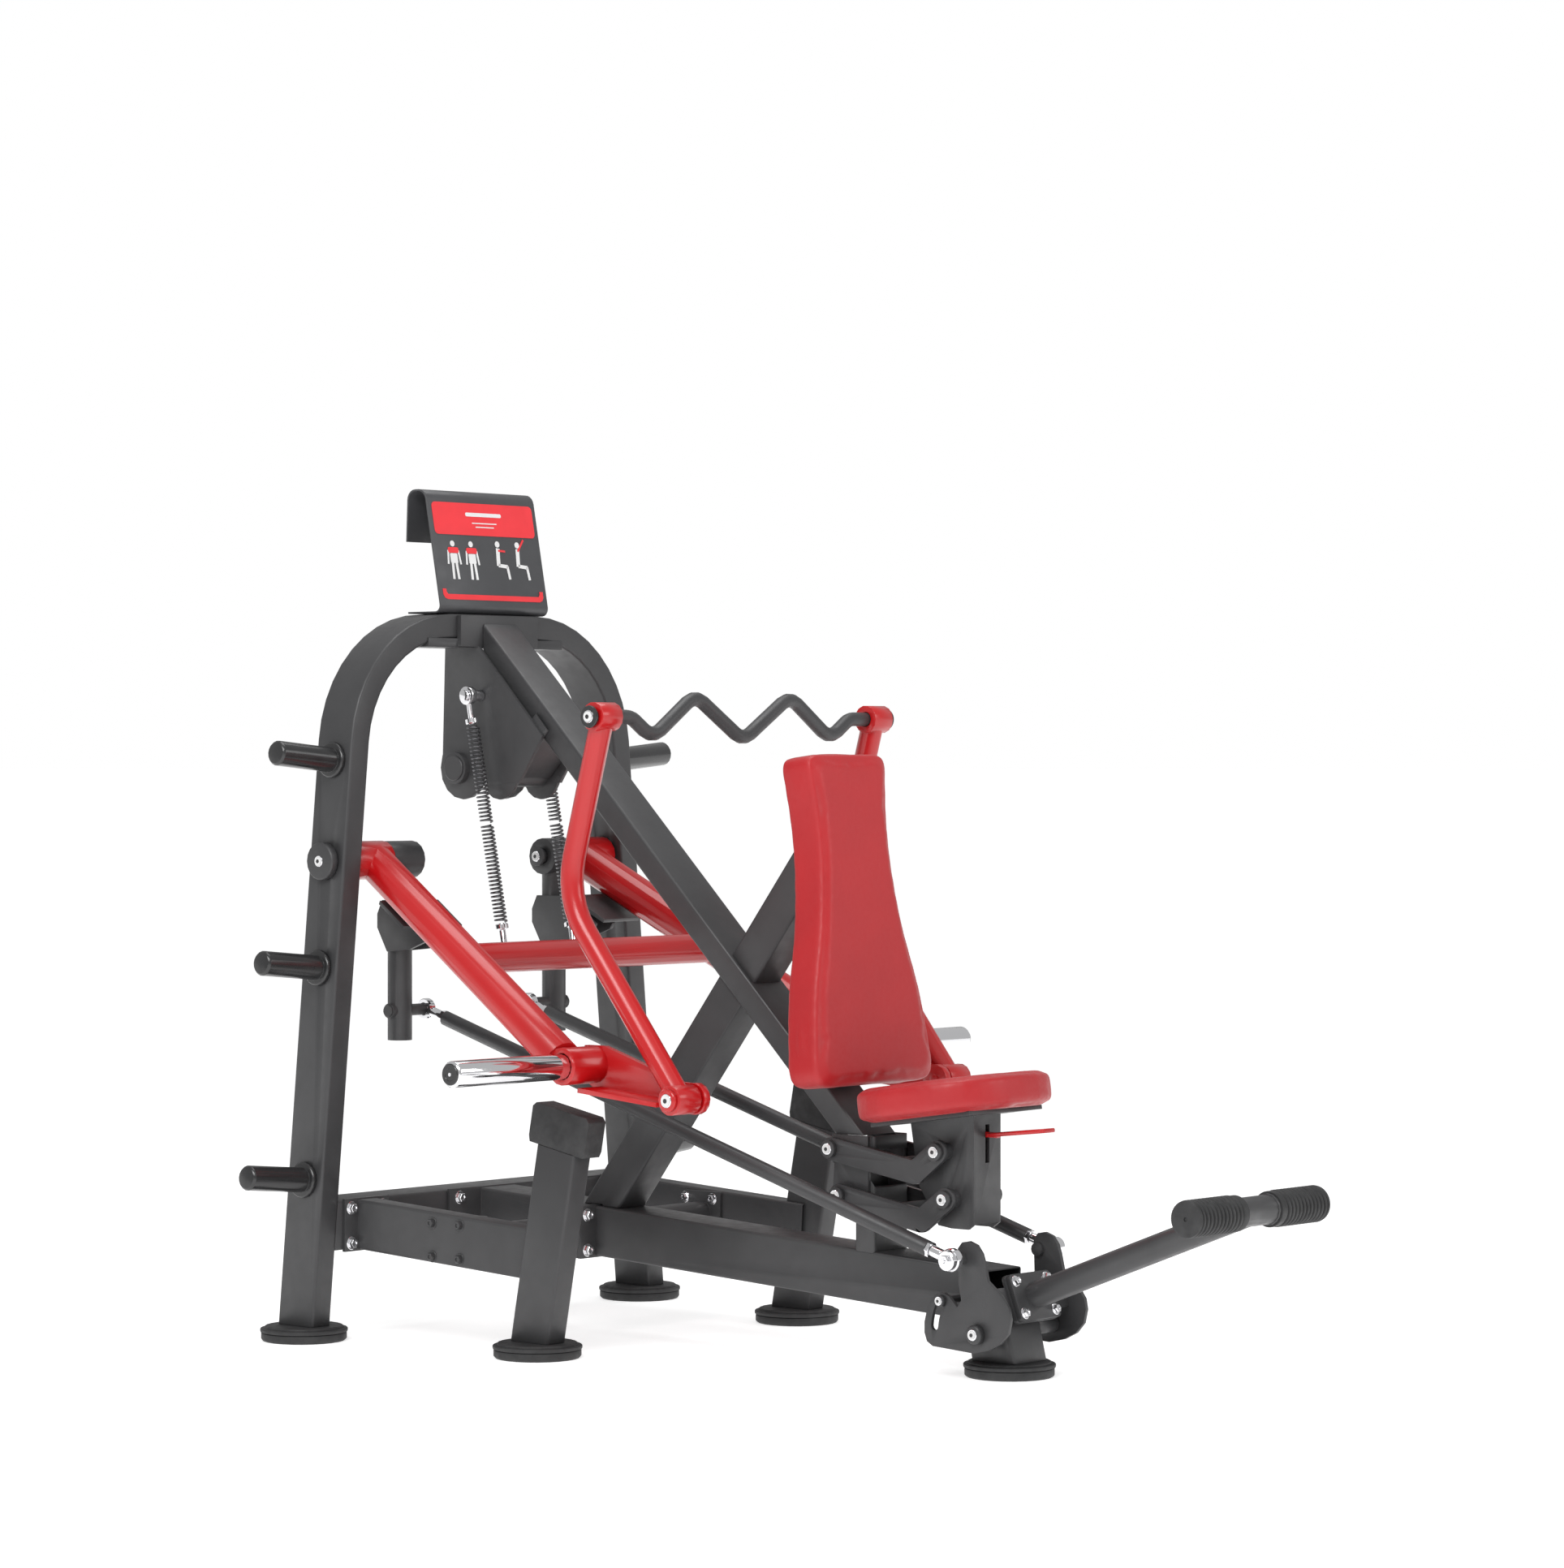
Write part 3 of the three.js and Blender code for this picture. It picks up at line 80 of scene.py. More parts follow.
# ---------- camera, floor and light ----------
CAMERA_AT = (-6.9165, -5.919, 1.154)
CAMERA_HEADING = (0.7536, 0.6574, 0.0)
LENS_MM = 108.15
FRAMING_SHIFT = -0.016
AMBIENT = 0.5
FLOOR_GLOW = 0.62
FLOOR_REACH = 400.0


def add_camera():
    data = bpy.data.cameras.new("camera")
    data.lens = LENS_MM
    data.sensor_width = 36.0
    data.shift_y = FRAMING_SHIFT
    data.clip_end = 2000.0
    camera = bpy.data.objects.new("camera", data)
    camera.location = CAMERA_AT
    camera.rotation_euler = Vector(CAMERA_HEADING).to_track_quat("-Z", "Y").to_euler()
    bpy.context.scene.collection.objects.link(camera)
    bpy.context.scene.camera = camera


def add_area_light(name, location, target, size, power):
    data = bpy.data.lights.new(name, "AREA")
    data.shape = "RECTANGLE"
    data.size, data.size_y = size
    data.energy = power
    light = bpy.data.objects.new(name, data)
    light.location = location
    aim = Vector(target) - Vector(location)
    light.rotation_euler = aim.to_track_quat("-Z", "Y").to_euler()
    bpy.context.scene.collection.objects.link(light)


def add_studio():
    world = bpy.data.worlds.new("studio")
    world.use_nodes = True
    tree = world.node_tree
    backdrop = tree.nodes["Background"]
    backdrop.inputs["Color"].default_value = (1, 1, 1, 1)
    sky = tree.nodes.new("ShaderNodeMapRange")
    sky.inputs["To Min"].default_value = AMBIENT
    sky.inputs["To Max"].default_value = 1.0
    rays = tree.nodes.new("ShaderNodeLightPath")
    tree.links.new(rays.outputs["Is Camera Ray"], sky.inputs["Value"])
    tree.links.new(sky.outputs["Result"], backdrop.inputs["Strength"])
    bpy.context.scene.world = world
    bpy.context.scene.view_settings.view_transform = "Standard"
    add_area_light("key", (-3.6, -1.2, 3.6), (0, 0, 0.8), (2.2, 2.2), 110)
    add_area_light("fill", (1.6, -4.6, 2.4), (0, -0.2, 0.7), (2.4, 1.8), 38)
    add_area_light("top", (0.4, 0.6, 4.6), (0, 0, 0.6), (2.6, 2.6), 60)
    mesh = bpy.data.meshes.new("floor")
    reach = FLOOR_REACH
    mesh.from_pydata(
        [(-reach, -reach, 0), (reach, -reach, 0), (reach, reach, 0), (-reach, reach, 0)],
        [],
        [(0, 1, 2, 3)],
    )
    floor = bpy.data.objects.new("floor", mesh)
    bpy.context.scene.collection.objects.link(floor)
    mesh.materials.append(floor_finish())


# ---------- materials ----------
class Finish:
    """A node material with helpers for procedural colour, roughness and bump."""

    def __init__(self, name, color, roughness, metallic=0.0, **constants):
        self.material = bpy.data.materials.new(name)
        self.material.use_nodes = True
        self.tree = self.material.node_tree
        self.shader = self.tree.nodes["Principled BSDF"]
        self.color = color
        self.roughness = roughness
        self.shader.inputs["Base Color"].default_value = (*color, 1)
        self.shader.inputs["Roughness"].default_value = roughness
        self.shader.inputs["Metallic"].default_value = metallic
        for socket, value in constants.items():
            self.shader.inputs[socket.replace("_", " ")].default_value = value
        self.place = self.tree.nodes.new("ShaderNodeTexCoord").outputs["Object"]
        self.normal = None

    def noise(self, scale, detail=3.0, stretch=None):
        node = self.tree.nodes.new("ShaderNodeTexNoise")
        node.inputs["Scale"].default_value = scale
        node.inputs["Detail"].default_value = detail
        self.tree.links.new(self.stretched(stretch), node.inputs["Vector"])
        return node.outputs["Fac"]

    def cells(self, scale, feature="F1"):
        node = self.tree.nodes.new("ShaderNodeTexVoronoi")
        node.feature = feature
        node.inputs["Scale"].default_value = scale
        self.tree.links.new(self.place, node.inputs["Vector"])
        return node.outputs["Distance"]

    def stretched(self, stretch):
        if stretch is None:
            return self.place
        node = self.tree.nodes.new("ShaderNodeMapping")
        node.inputs["Scale"].default_value = stretch
        self.tree.links.new(self.place, node.inputs["Vector"])
        return node.outputs["Vector"]

    def span(self, source, low, high, start=0.35, end=0.65):
        node = self.tree.nodes.new("ShaderNodeMapRange")
        node.inputs["From Min"].default_value = start
        node.inputs["From Max"].default_value = end
        node.inputs["To Min"].default_value = low
        node.inputs["To Max"].default_value = high
        self.tree.links.new(source, node.inputs["Value"])
        return node.outputs["Result"]

    def vary_roughness(self, source, spread):
        value = self.span(source, self.roughness - spread, self.roughness + spread)
        self.tree.links.new(value, self.shader.inputs["Roughness"])
        return self

    def vary_color(self, source, other):
        node = self.tree.nodes.new("ShaderNodeMix")
        node.data_type = "RGBA"
        node.inputs["A"].default_value = (*self.color, 1)
        node.inputs["B"].default_value = (*other, 1)
        self.tree.links.new(self.span(source, 0, 1), node.inputs["Factor"])
        self.tree.links.new(node.outputs["Result"], self.shader.inputs["Base Color"])
        return self

    def bump(self, source, height, strength=0.5):
        node = self.tree.nodes.new("ShaderNodeBump")
        node.inputs["Distance"].default_value = height
        node.inputs["Strength"].default_value = strength
        self.tree.links.new(source, node.inputs["Height"])
        if self.normal:
            self.tree.links.new(self.normal, node.inputs["Normal"])
        self.normal = node.outputs["Normal"]
        self.tree.links.new(self.normal, self.shader.inputs["Normal"])
        return self


def floor_finish():
    finish = Finish("floor_pale", (0.80, 0.80, 0.80), 0.65, Emission_Strength=FLOOR_GLOW)
    finish.shader.inputs["Emission Color"].default_value = (1, 1, 1, 1)
    finish.shader.inputs["Specular IOR Level"].default_value = 0.1
    finish.vary_roughness(finish.noise(3.0), 0.04)
    return finish.material


def powder_coat():
    grey = (0.042, 0.042, 0.044)
    finish = Finish("grey_powder_coat", grey, 0.44, 0.1, Coat_Weight=0.1, Coat_Roughness=0.35)
    finish.vary_color(finish.noise(9.0, 6), (0.050, 0.050, 0.052))
    finish.vary_roughness(finish.noise(40.0, 4), 0.05)
    finish.bump(finish.noise(1600.0, 2), 0.00012, 0.35)
    return finish.material


def red_gloss():
    finish = Finish("red_gloss_paint", (0.50, 0.004, 0.006), 0.30, 0.0, Coat_Weight=0.45, Coat_Roughness=0.18)
    finish.vary_color(finish.noise(5.0, 3), (0.47, 0.004, 0.006))
    finish.vary_roughness(finish.noise(22.0, 3), 0.02)
    finish.bump(finish.noise(380.0, 2), 0.00004, 0.12)
    return finish.material


def red_leather():
    finish = Finish("red_upholstery", (0.44, 0.012, 0.016), 0.45, 0.0, Sheen_Weight=0.08, Sheen_Roughness=0.4)
    finish.vary_color(finish.noise(9.0, 4), (0.41, 0.011, 0.015))
    finish.vary_roughness(finish.noise(90.0, 4), 0.07)
    finish.bump(finish.cells(620.0, "DISTANCE_TO_EDGE"), 0.00035, 0.45)
    finish.bump(finish.noise(26.0, 2), 0.0006, 0.10)
    return finish.material


def chrome():
    finish = Finish("chrome_plate", (0.86, 0.86, 0.88), 0.07, 1.0)
    finish.vary_roughness(finish.noise(160.0, 5, (1, 1, 14)), 0.035)
    finish.bump(finish.noise(300.0, 2), 0.00004, 0.2)
    return finish.material


def spring_wire():
    finish = Finish("spring_wire", (0.11, 0.11, 0.115), 0.32, 0.85)
    finish.vary_color(finish.noise(120.0, 4), (0.20, 0.20, 0.21))
    finish.vary_roughness(finish.noise(240.0, 3), 0.06)
    finish.bump(finish.noise(900.0, 2), 0.00008, 0.3)
    return finish.material


def rubber():
    finish = Finish("black_rubber", (0.022, 0.022, 0.023), 0.62)
    finish.vary_color(finish.noise(25.0, 5), (0.034, 0.034, 0.035))
    finish.vary_roughness(finish.noise(70.0, 4), 0.08)
    finish.bump(finish.noise(700.0, 3), 0.0003, 0.4)
    return finish.material


def black_plastic():
    finish = Finish("black_plastic", (0.016, 0.016, 0.017), 0.25, 0.0, Coat_Weight=0.3, Coat_Roughness=0.15)
    finish.vary_roughness(finish.noise(18.0, 3), 0.03)
    finish.vary_color(finish.noise(9.0, 3), (0.020, 0.020, 0.021))
    finish.bump(finish.noise(420.0, 2), 0.00003, 0.1)
    return finish.material


def printed(name, color):
    finish = Finish(name, color, 0.4)
    finish.vary_roughness(finish.noise(35.0, 3), 0.05)
    finish.vary_color(finish.noise(20.0, 3), tuple(channel * 0.93 for channel in color))
    finish.bump(finish.noise(800.0, 2), 0.00004, 0.2)
    return finish.material


add_camera()
add_studio()
POWDER_COAT = powder_coat()
RED_GLOSS = red_gloss()
RED_LEATHER = red_leather()
CHROME = chrome()
SPRING_WIRE = spring_wire()
RUBBER = rubber()
BLACK_PLASTIC = black_plastic()
PRINT_RED = printed("print_red", (0.78, 0.035, 0.045))
PRINT_WHITE = printed("print_white", (0.75, 0.75, 0.75))
PRINT_DARK = printed("print_dark", (0.055, 0.056, 0.060))
NODE_FINISH = {
    "grey_paint": POWDER_COAT,
    "red_paint": RED_GLOSS,
    "red_leather": RED_LEATHER,
    "chrome": CHROME,
    "spring_steel": SPRING_WIRE,
    "rubber": RUBBER,
    "placard": PRINT_DARK,
}
SMOOTH_BELOW = radians(33)


def finish_cad_nodes():
    """Every CAD node gets its material, smooth round faces and softly broken plate edges."""
    slots = {part["node"]: part["material_slot"] for part in frame["record"]["subparts"]}
    for name, node in frame["nodes"].items():
        material = BLACK_PLASTIC if name.startswith("plate_peg") else NODE_FINISH[slots[name]]
        node.data.materials.clear()
        node.data.materials.append(material)
        weld = node.modifiers.new("weld", "WELD")
        weld.merge_threshold = 0.00002
        edges = node.modifiers.new("broken_edges", "BEVEL")
        edges.width = 0.0008
        edges.segments = 2
        edges.limit_method = "ANGLE"
        edges.angle_limit = SMOOTH_BELOW
        edges.harden_normals = True
        node.data.shade_smooth()


# ---------- mesh building ----------
class Shape:
    """Collects lathe, prism and tube pieces into one mesh with several materials."""

    def __init__(self, name, materials):
        self.name = name
        self.materials = materials
        self.bm = bmesh.new()

    def ring(self, centre, right, up, points):
        return [self.bm.verts.new(centre + right * a + up * b) for a, b in points]

    def bridge(self, one, two, material, closed=True):
        count = len(one)
        for i in range(count if closed else count - 1):
            j = (i + 1) % count
            face = self.bm.faces.new((one[i], one[j], two[j], two[i]))
            face.material_index = material
            face.smooth = True

    def cap(self, ring, material, flip=False):
        face = self.bm.faces.new(ring[::-1] if flip else ring)
        face.material_index = material

    def lathe(self, origin, axis, profile, material=0, segments=32):
        """A turned piece. The profile is [radius, distance along the axis] and closes on the axis."""
        right, up = frame_of(axis)
        turn = [(cos(2 * pi * i / segments), sin(2 * pi * i / segments)) for i in range(segments)]
        rings = []
        for radius, distance in profile:
            centre = Vector(origin) + axis * distance
            rings.append(self.ring(centre, right, up, [(c * radius, s * radius) for c, s in turn]))
        for one, two in zip(rings, rings[1:]):
            self.bridge(one, two, material)
        self.cap(rings[0], material, True)
        self.cap(rings[-1], material)

    def ring_band(self, origin, axis, profile, material=0, segments=32):
        """A turned piece with a hole: its profile is a closed loop off the axis."""
        right, up = frame_of(axis)
        turn = [(cos(2 * pi * i / segments), sin(2 * pi * i / segments)) for i in range(segments)]
        rings = []
        for radius, distance in profile:
            centre = Vector(origin) + axis * distance
            rings.append(self.ring(centre, right, up, [(c * radius, s * radius) for c, s in turn]))
        for one, two in zip(rings, rings[1:] + rings[:1]):
            self.bridge(one, two, material)

    def hexagon(self, origin, axis, across, base, top, material=0):
        """A hexagonal head with a chamfered rim and a small dished top."""
        right, up = frame_of(axis)
        radius = across / 2 / cos(pi / 6)
        rim = (top - base) * 0.22
        sections = [(radius, base), (radius, top - rim), (radius * 0.86, top)]
        sections += [(radius * 0.5, top), (radius * 0.42, top - rim)]
        rings = []
        for size, distance in sections:
            centre = Vector(origin) + axis * distance
            corners = [(cos(pi * i / 3) * size, sin(pi * i / 3) * size) for i in range(6)]
            rings.append(self.ring(centre, right, up, corners))
        for one, two in zip(rings, rings[1:]):
            self.bridge(one, two, material)
        self.cap(rings[0], material, True)
        self.cap(rings[-1], material)

    def tube(self, points, radius, material=0, sides=8):
        """A round wire through points."""
        rings = []
        for i, point in enumerate(points):
            ahead = points[min(i + 1, len(points) - 1)] - points[max(i - 1, 0)]
            right, up = frame_of(ahead.normalized())
            angles = [2 * pi * k / sides for k in range(sides)]
            turn = [(cos(angle) * radius, sin(angle) * radius) for angle in angles]
            rings.append(self.ring(point, right, up, turn))
        for one, two in zip(rings, rings[1:]):
            self.bridge(one, two, material)
        self.cap(rings[0], material, True)
        self.cap(rings[-1], material)

    def slab(self, origin, right, up, outline, thickness, material=0):
        """A flat shape with a thickness, drawn in the plane of right and up."""
        normal = right.cross(up).normalized()
        low = self.ring(Vector(origin), right, up, outline)
        high = self.ring(Vector(origin) + normal * thickness, right, up, outline)
        self.bridge(low, high, material)
        self.cap(low, material, True)
        self.cap(high, material)

    def finish(self, body, slot, bevel=0.0):
        bmesh.ops.recalc_face_normals(self.bm, faces=self.bm.faces)
        mesh = bpy.data.meshes.new(self.name)
        self.bm.to_mesh(mesh)
        self.bm.free()
        for material in self.materials:
            mesh.materials.append(material)
        mesh.set_sharp_from_angle(angle=SMOOTH_BELOW)
        piece = bpy.data.objects.new(self.name, mesh)
        bpy.context.scene.collection.objects.link(piece)
        if bevel:
            edges = piece.modifiers.new("edges", "BEVEL")
            edges.width = bevel
            edges.segments = 2
            edges.limit_method = "ANGLE"
            edges.angle_limit = SMOOTH_BELOW
        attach(piece, body)
        return piece


def frame_of(axis):
    """Two directions square to an axis, the first one level wherever that can be."""
    side = Vector((0, 0, 1)) if abs(axis.z) < 0.9 else Vector((0, 1, 0))
    right = side.cross(axis).normalized()
    return right, axis.cross(right).normalized()


def outward(side):
    return Vector((SIDES[side], 0, 0))


def outer_x(node, side):
    low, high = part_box(node)
    return high.x if side == "left" else low.x


def inner_x(node, side):
    low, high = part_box(node)
    return low.x if side == "left" else high.x


# ---------- pads ----------
PAD_VOXEL = 0.005
ROUNDS_BEFORE = 14
ROUNDS_AFTER = 5
CLOTH_FRAMES = 20


def simulated_pad(node, name, shrink, most):
    """The pad's cover, blown up against its foam by a short cloth simulation."""
    source = frame["nodes"][node]
    piece = bpy.data.objects.new(name, source.data.copy())
    bpy.context.scene.collection.objects.link(piece)
    bpy.context.view_layer.objects.active = piece
    remesh = piece.modifiers.new("remesh", "REMESH")
    remesh.mode = "VOXEL"
    remesh.voxel_size = PAD_VOXEL
    even_out(piece, ROUNDS_BEFORE)
    move_along_normals(piece, -shrink)
    rest = [vertex.co.copy() for vertex in piece.data.vertices]
    normals = [vertex.normal.copy() for vertex in piece.data.vertices]
    blow_up(piece)
    for vertex, start, normal in zip(piece.data.vertices, rest, normals):
        bulge = (vertex.co - start).dot(normal)
        vertex.co = start + normal * min(max(bulge, 0.0), most)
    even_out(piece, ROUNDS_AFTER)
    refine = piece.modifiers.new("refine", "SUBSURF")
    refine.levels = 1
    refine.render_levels = 1
    apply_modifiers(piece)
    piece.data.materials.clear()
    piece.data.materials.append(RED_LEATHER)
    piece.data.shade_smooth()
    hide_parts(node)
    return piece


def even_out(piece, rounds):
    """Takes the small steps out of the cover, so its rounded edges run true."""
    smooth = piece.modifiers.new("smooth", "SMOOTH")
    smooth.factor = 0.5
    smooth.iterations = rounds
    apply_modifiers(piece)


def blow_up(piece):
    cloth = piece.modifiers.new("cloth", "CLOTH")
    settings = cloth.settings
    settings.use_pressure = True
    settings.uniform_pressure_force = 4.0
    settings.effector_weights.gravity = 0.0
    settings.tension_stiffness = 25.0
    settings.compression_stiffness = 25.0
    scene = bpy.context.scene
    cloth.point_cache.frame_start = 1
    cloth.point_cache.frame_end = CLOTH_FRAMES
    for step in range(1, CLOTH_FRAMES + 1):
        scene.frame_set(step)
    apply_modifiers(piece)
    scene.frame_set(1)


def apply_modifiers(piece):
    graph = bpy.context.evaluated_depsgraph_get()
    made = bpy.data.meshes.new_from_object(piece.evaluated_get(graph))
    piece.modifiers.clear()
    piece.data = made


def move_along_normals(piece, distance):
    normals = [vertex.normal.copy() for vertex in piece.data.vertices]
    for vertex, normal in zip(piece.data.vertices, normals):
        vertex.co += normal * distance


def add_pads():
    back = simulated_pad("back_pad", "back_cushion", 0.003, 0.006)
    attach(back, "frame")
    seat = simulated_pad("seat_pad", "seat_cushion", 0.004, 0.005)
    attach(seat, "seat")


# ---------- springs ----------
COIL_RADIUS = 0.0118
WIRE_RADIUS = 0.0021
EYE_TO_COIL = 0.0604
COIL_LENGTH = 0.2052
TURNS = 25
STEPS_PER_TURN = 14


def coil(side, half, body):
    top = joint_at(f"spring_{side}_lift_turn")
    up = joint_axis(f"spring_{side}_lift_close")
    start = EYE_TO_COIL + (COIL_LENGTH + 0.0004 if half == "lower" else 0)
    right, forward = frame_of(up)
    points = []
    steps = TURNS * STEPS_PER_TURN
    margin = WIRE_RADIUS + 0.0005
    for step in range(steps + 1):
        angle = 2 * pi * step / STEPS_PER_TURN
        along = start + margin + (COIL_LENGTH - 2 * margin) * step / steps
        around = right * cos(angle) * COIL_RADIUS + forward * sin(angle) * COIL_RADIUS
        points.append(top - up * along + around)
    shape = Shape(f"{half}_spring_wire_{side}", [SPRING_WIRE])
    shape.tube(points, WIRE_RADIUS, sides=7)
    piece = shape.finish(body, "spring_steel")
    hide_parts(f"{half}_coil_{side}")
    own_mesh(piece)


def spring_cups(side):
    """The cups that hold the spring's two ends."""
    top = joint_at(f"spring_{side}_lift_turn")
    up = joint_axis(f"spring_{side}_lift_close")
    cup = [(0.008, 0.0), (0.0135, 0.002), (0.0135, 0.010), (0.0120, 0.012), (0.008, 0.012)]
    upper = Shape(f"spring_cup_upper_{side}", [CHROME])
    upper.lathe(top - up * (EYE_TO_COIL - 0.013), -up, cup, segments=28)
    upper.finish(f"spring_{side}", "chrome")
    lower = Shape(f"spring_cup_lower_{side}", [CHROME])
    end = EYE_TO_COIL + 2 * COIL_LENGTH + 0.0140
    lower.lathe(top - up * end, up, cup, segments=28)
    lower.finish(f"spring_foot_{side}", "chrome")


def add_springs():
    for side in SIDES:
        coil(side, "upper", f"spring_{side}")
        coil(side, "lower", f"coil_{side}")
        spring_cups(side)


# ---------- fasteners ----------
def washer_profile(radius, thickness):
    rim = [(radius, 0), (radius, thickness * 0.6), (radius * 0.94, thickness)]
    return [(0.001, 0), *rim, (0.001, thickness)]


def dark_cap(name, point, direction, radius, body):
    """A plain dark cap with a stepped rim."""
    shape = Shape(name, [POWDER_COAT])
    profile = [(0.001, 0), (radius, 0), (radius, 0.0022), (radius * 0.93, 0.0035), (0.001, 0.0035)]
    shape.lathe(point, direction, profile)
    return shape.finish(body, "grey_paint")


def pivot_cap(name, point, direction, radius, body, dark=0.0):
    """A pivot's end: black disc where it has one, chrome washer, white insert and a thin black disc for the
    socket, its darkness painted shade of the recess.
    """
    shape = Shape(name, [BLACK_PLASTIC, CHROME, PRINT_WHITE])
    base = 0.0
    if dark:
        shape.lathe(point, direction, washer_profile(dark, 0.004), 0)
        base = 0.004
    at = point + direction * base
    shape.lathe(at, direction, washer_profile(radius, 0.0022), 1)
    shape.lathe(at + direction * 0.0022, direction, washer_profile(radius * 0.78, 0.0018), 2)
    # Painted shade: a thin raised black disc stands in for the socket's recess, whose darkness is only shade.
    shape.lathe(at + direction * 0.0040, direction, washer_profile(radius * 0.34, 0.0009), 0, 20)
    return shape.finish(body, "chrome")


def hex_bolts(name, places, across, body, material=None):
    shape = Shape(name, [material or CHROME])
    for point, direction in places:
        shape.lathe(point, direction, washer_profile(across * 0.78, 0.0018), 0, 24)
        shape.hexagon(point, direction, across, 0.0017, 0.0017 + across * 0.52)
    return shape.finish(body, "chrome")


ARM_PIVOT = joint_at("arm_lift")
PEDAL_PIVOT = joint_at("pedal_press")
SEAT_LEVEL = joint_at("seat_level")
LINK_DROP = joint_at("seat_link_lower_swing") - joint_at("seat_height")
PRESS_PIVOT = joint_at("press_swing")
HANDLE_AXIS = joint_at("handle_turn")
HANGER_BOSS = ARM_PIVOT + Vector((0, -0.008, 0.185))
ROD_EYE_FRONT = PEDAL_PIVOT + Vector((0, 0.034, 0.138))
STOP_PIN = PEDAL_PIVOT + Vector((0, 0.085, 0.056))


def add_pivot_caps():
    for side in SIDES:
        out = outward(side)
        axle_out = at_x(outer_x(f"arm_axle_{side}", side), ARM_PIVOT)
        axle_in = at_x(inner_x(f"arm_axle_{side}", side), ARM_PIVOT)
        pivot_cap(f"arm_axle_cap_{side}", axle_out, out, 0.0112, "frame")
        pivot_cap(f"arm_axle_inner_cap_{side}", axle_in, -out, 0.0112, "frame")
        press_x = outer_x(f"press_arm_{side}", side) + 0.008 * SIDES[side]
        pivot_cap(f"press_pivot_cap_{side}", at_x(press_x, PRESS_PIVOT), out, 0.0130, "arm")
        handle_end = at_x(outer_x("handle_bar", side), HANDLE_AXIS)
        pivot_cap(f"handle_cap_{side}", handle_end, out, 0.0125, "handle", 0.0215)
        post_x = outer_x("seat_post", side)
        pivot_cap(f"upper_link_rear_cap_{side}", at_x(post_x, joint_at("seat_height")), out, 0.0110, "frame")
        lower_rear = at_x(post_x, joint_at("seat_link_lower_swing"))
        pivot_cap(f"lower_link_rear_cap_{side}", lower_rear, out, 0.0110, "frame")
        pivot_cap(f"upper_link_front_cap_{side}", at_x(post_x, SEAT_LEVEL), out, 0.0110, "seat")
        pivot_cap(f"lower_link_front_cap_{side}", at_x(post_x, SEAT_LEVEL + LINK_DROP), out, 0.0110, "seat")
        pedal_end = at_x(outer_x("pedal_axle", side), PEDAL_PIVOT)
        pivot_cap(f"pedal_axle_cap_{side}", pedal_end, out, 0.0105, "frame")
        pivot_cap(f"stop_pin_cap_{side}", at_x(outer_x("main_beam", side), STOP_PIN), out, 0.0085, "frame")
        dark_cap(f"hanger_cap_{side}", at_x(0.078 * SIDES[side], HANGER_BOSS), out, 0.026, "frame")
        lever_pin = at_x(0.257 * SIDES[side], joint_at(f"rod_{side}_swing"))
        dark_cap(f"lever_pin_cap_{side}", lever_pin, out, 0.0125, f"lever_{side}")
        rod_stud_cap(side)


def rod_stud_cap(side):
    """The bright nut and washer over the stud that holds a push rod's front end."""
    out = outward(side)
    face = at_x(outer_x("pedal_yoke", side), ROD_EYE_FRONT)
    shape = Shape(f"rod_stud_nut_{side}", [CHROME])
    cup = [(0.0168, -0.0085), (0.0190, -0.0085), (0.0190, 0.0004), (0.0172, 0.0018), (0.001, 0.0018)]
    shape.lathe(face, out, cup, 0, 36)
    shape.hexagon(face, out, 0.019, 0.0017, 0.0085)
    stud_tip = [(0.0042, 0), (0.0042, 0.0045), (0.0034, 0.0055), (0.001, 0.0055)]
    shape.lathe(face + out * 0.0060, out, stud_tip, 0, 16)
    shape.finish("pedal", "chrome")


def add_sleeve_plugs():
    for side in SIDES:
        node = f"weight_sleeve_{side}"
        end = at_x(outer_x(node, side), middle(node))
        shape = Shape(f"sleeve_plug_{side}", [BLACK_PLASTIC, CHROME])
        out = outward(side)
        plug = [(0.001, -0.001), (0.0205, -0.001), (0.0205, 0.0022), (0.0190, 0.0034)]
        plug += [(0.0125, 0.0034), (0.0115, 0.0022), (0.001, 0.0022)]
        shape.lathe(end, out, plug, 0)
        screw = [(0.001, 0), (0.0035, 0), (0.0035, 0.001), (0.001, 0.001)]
        shape.lathe(end + out * 0.0022, out, screw, 1, 16)
        shape.finish("arm", "chrome")


FLANGE_THICKNESS = 0.008
FLANGE_MIDDLE_DROP = 0.0535
BOLT_ROW = 0.035


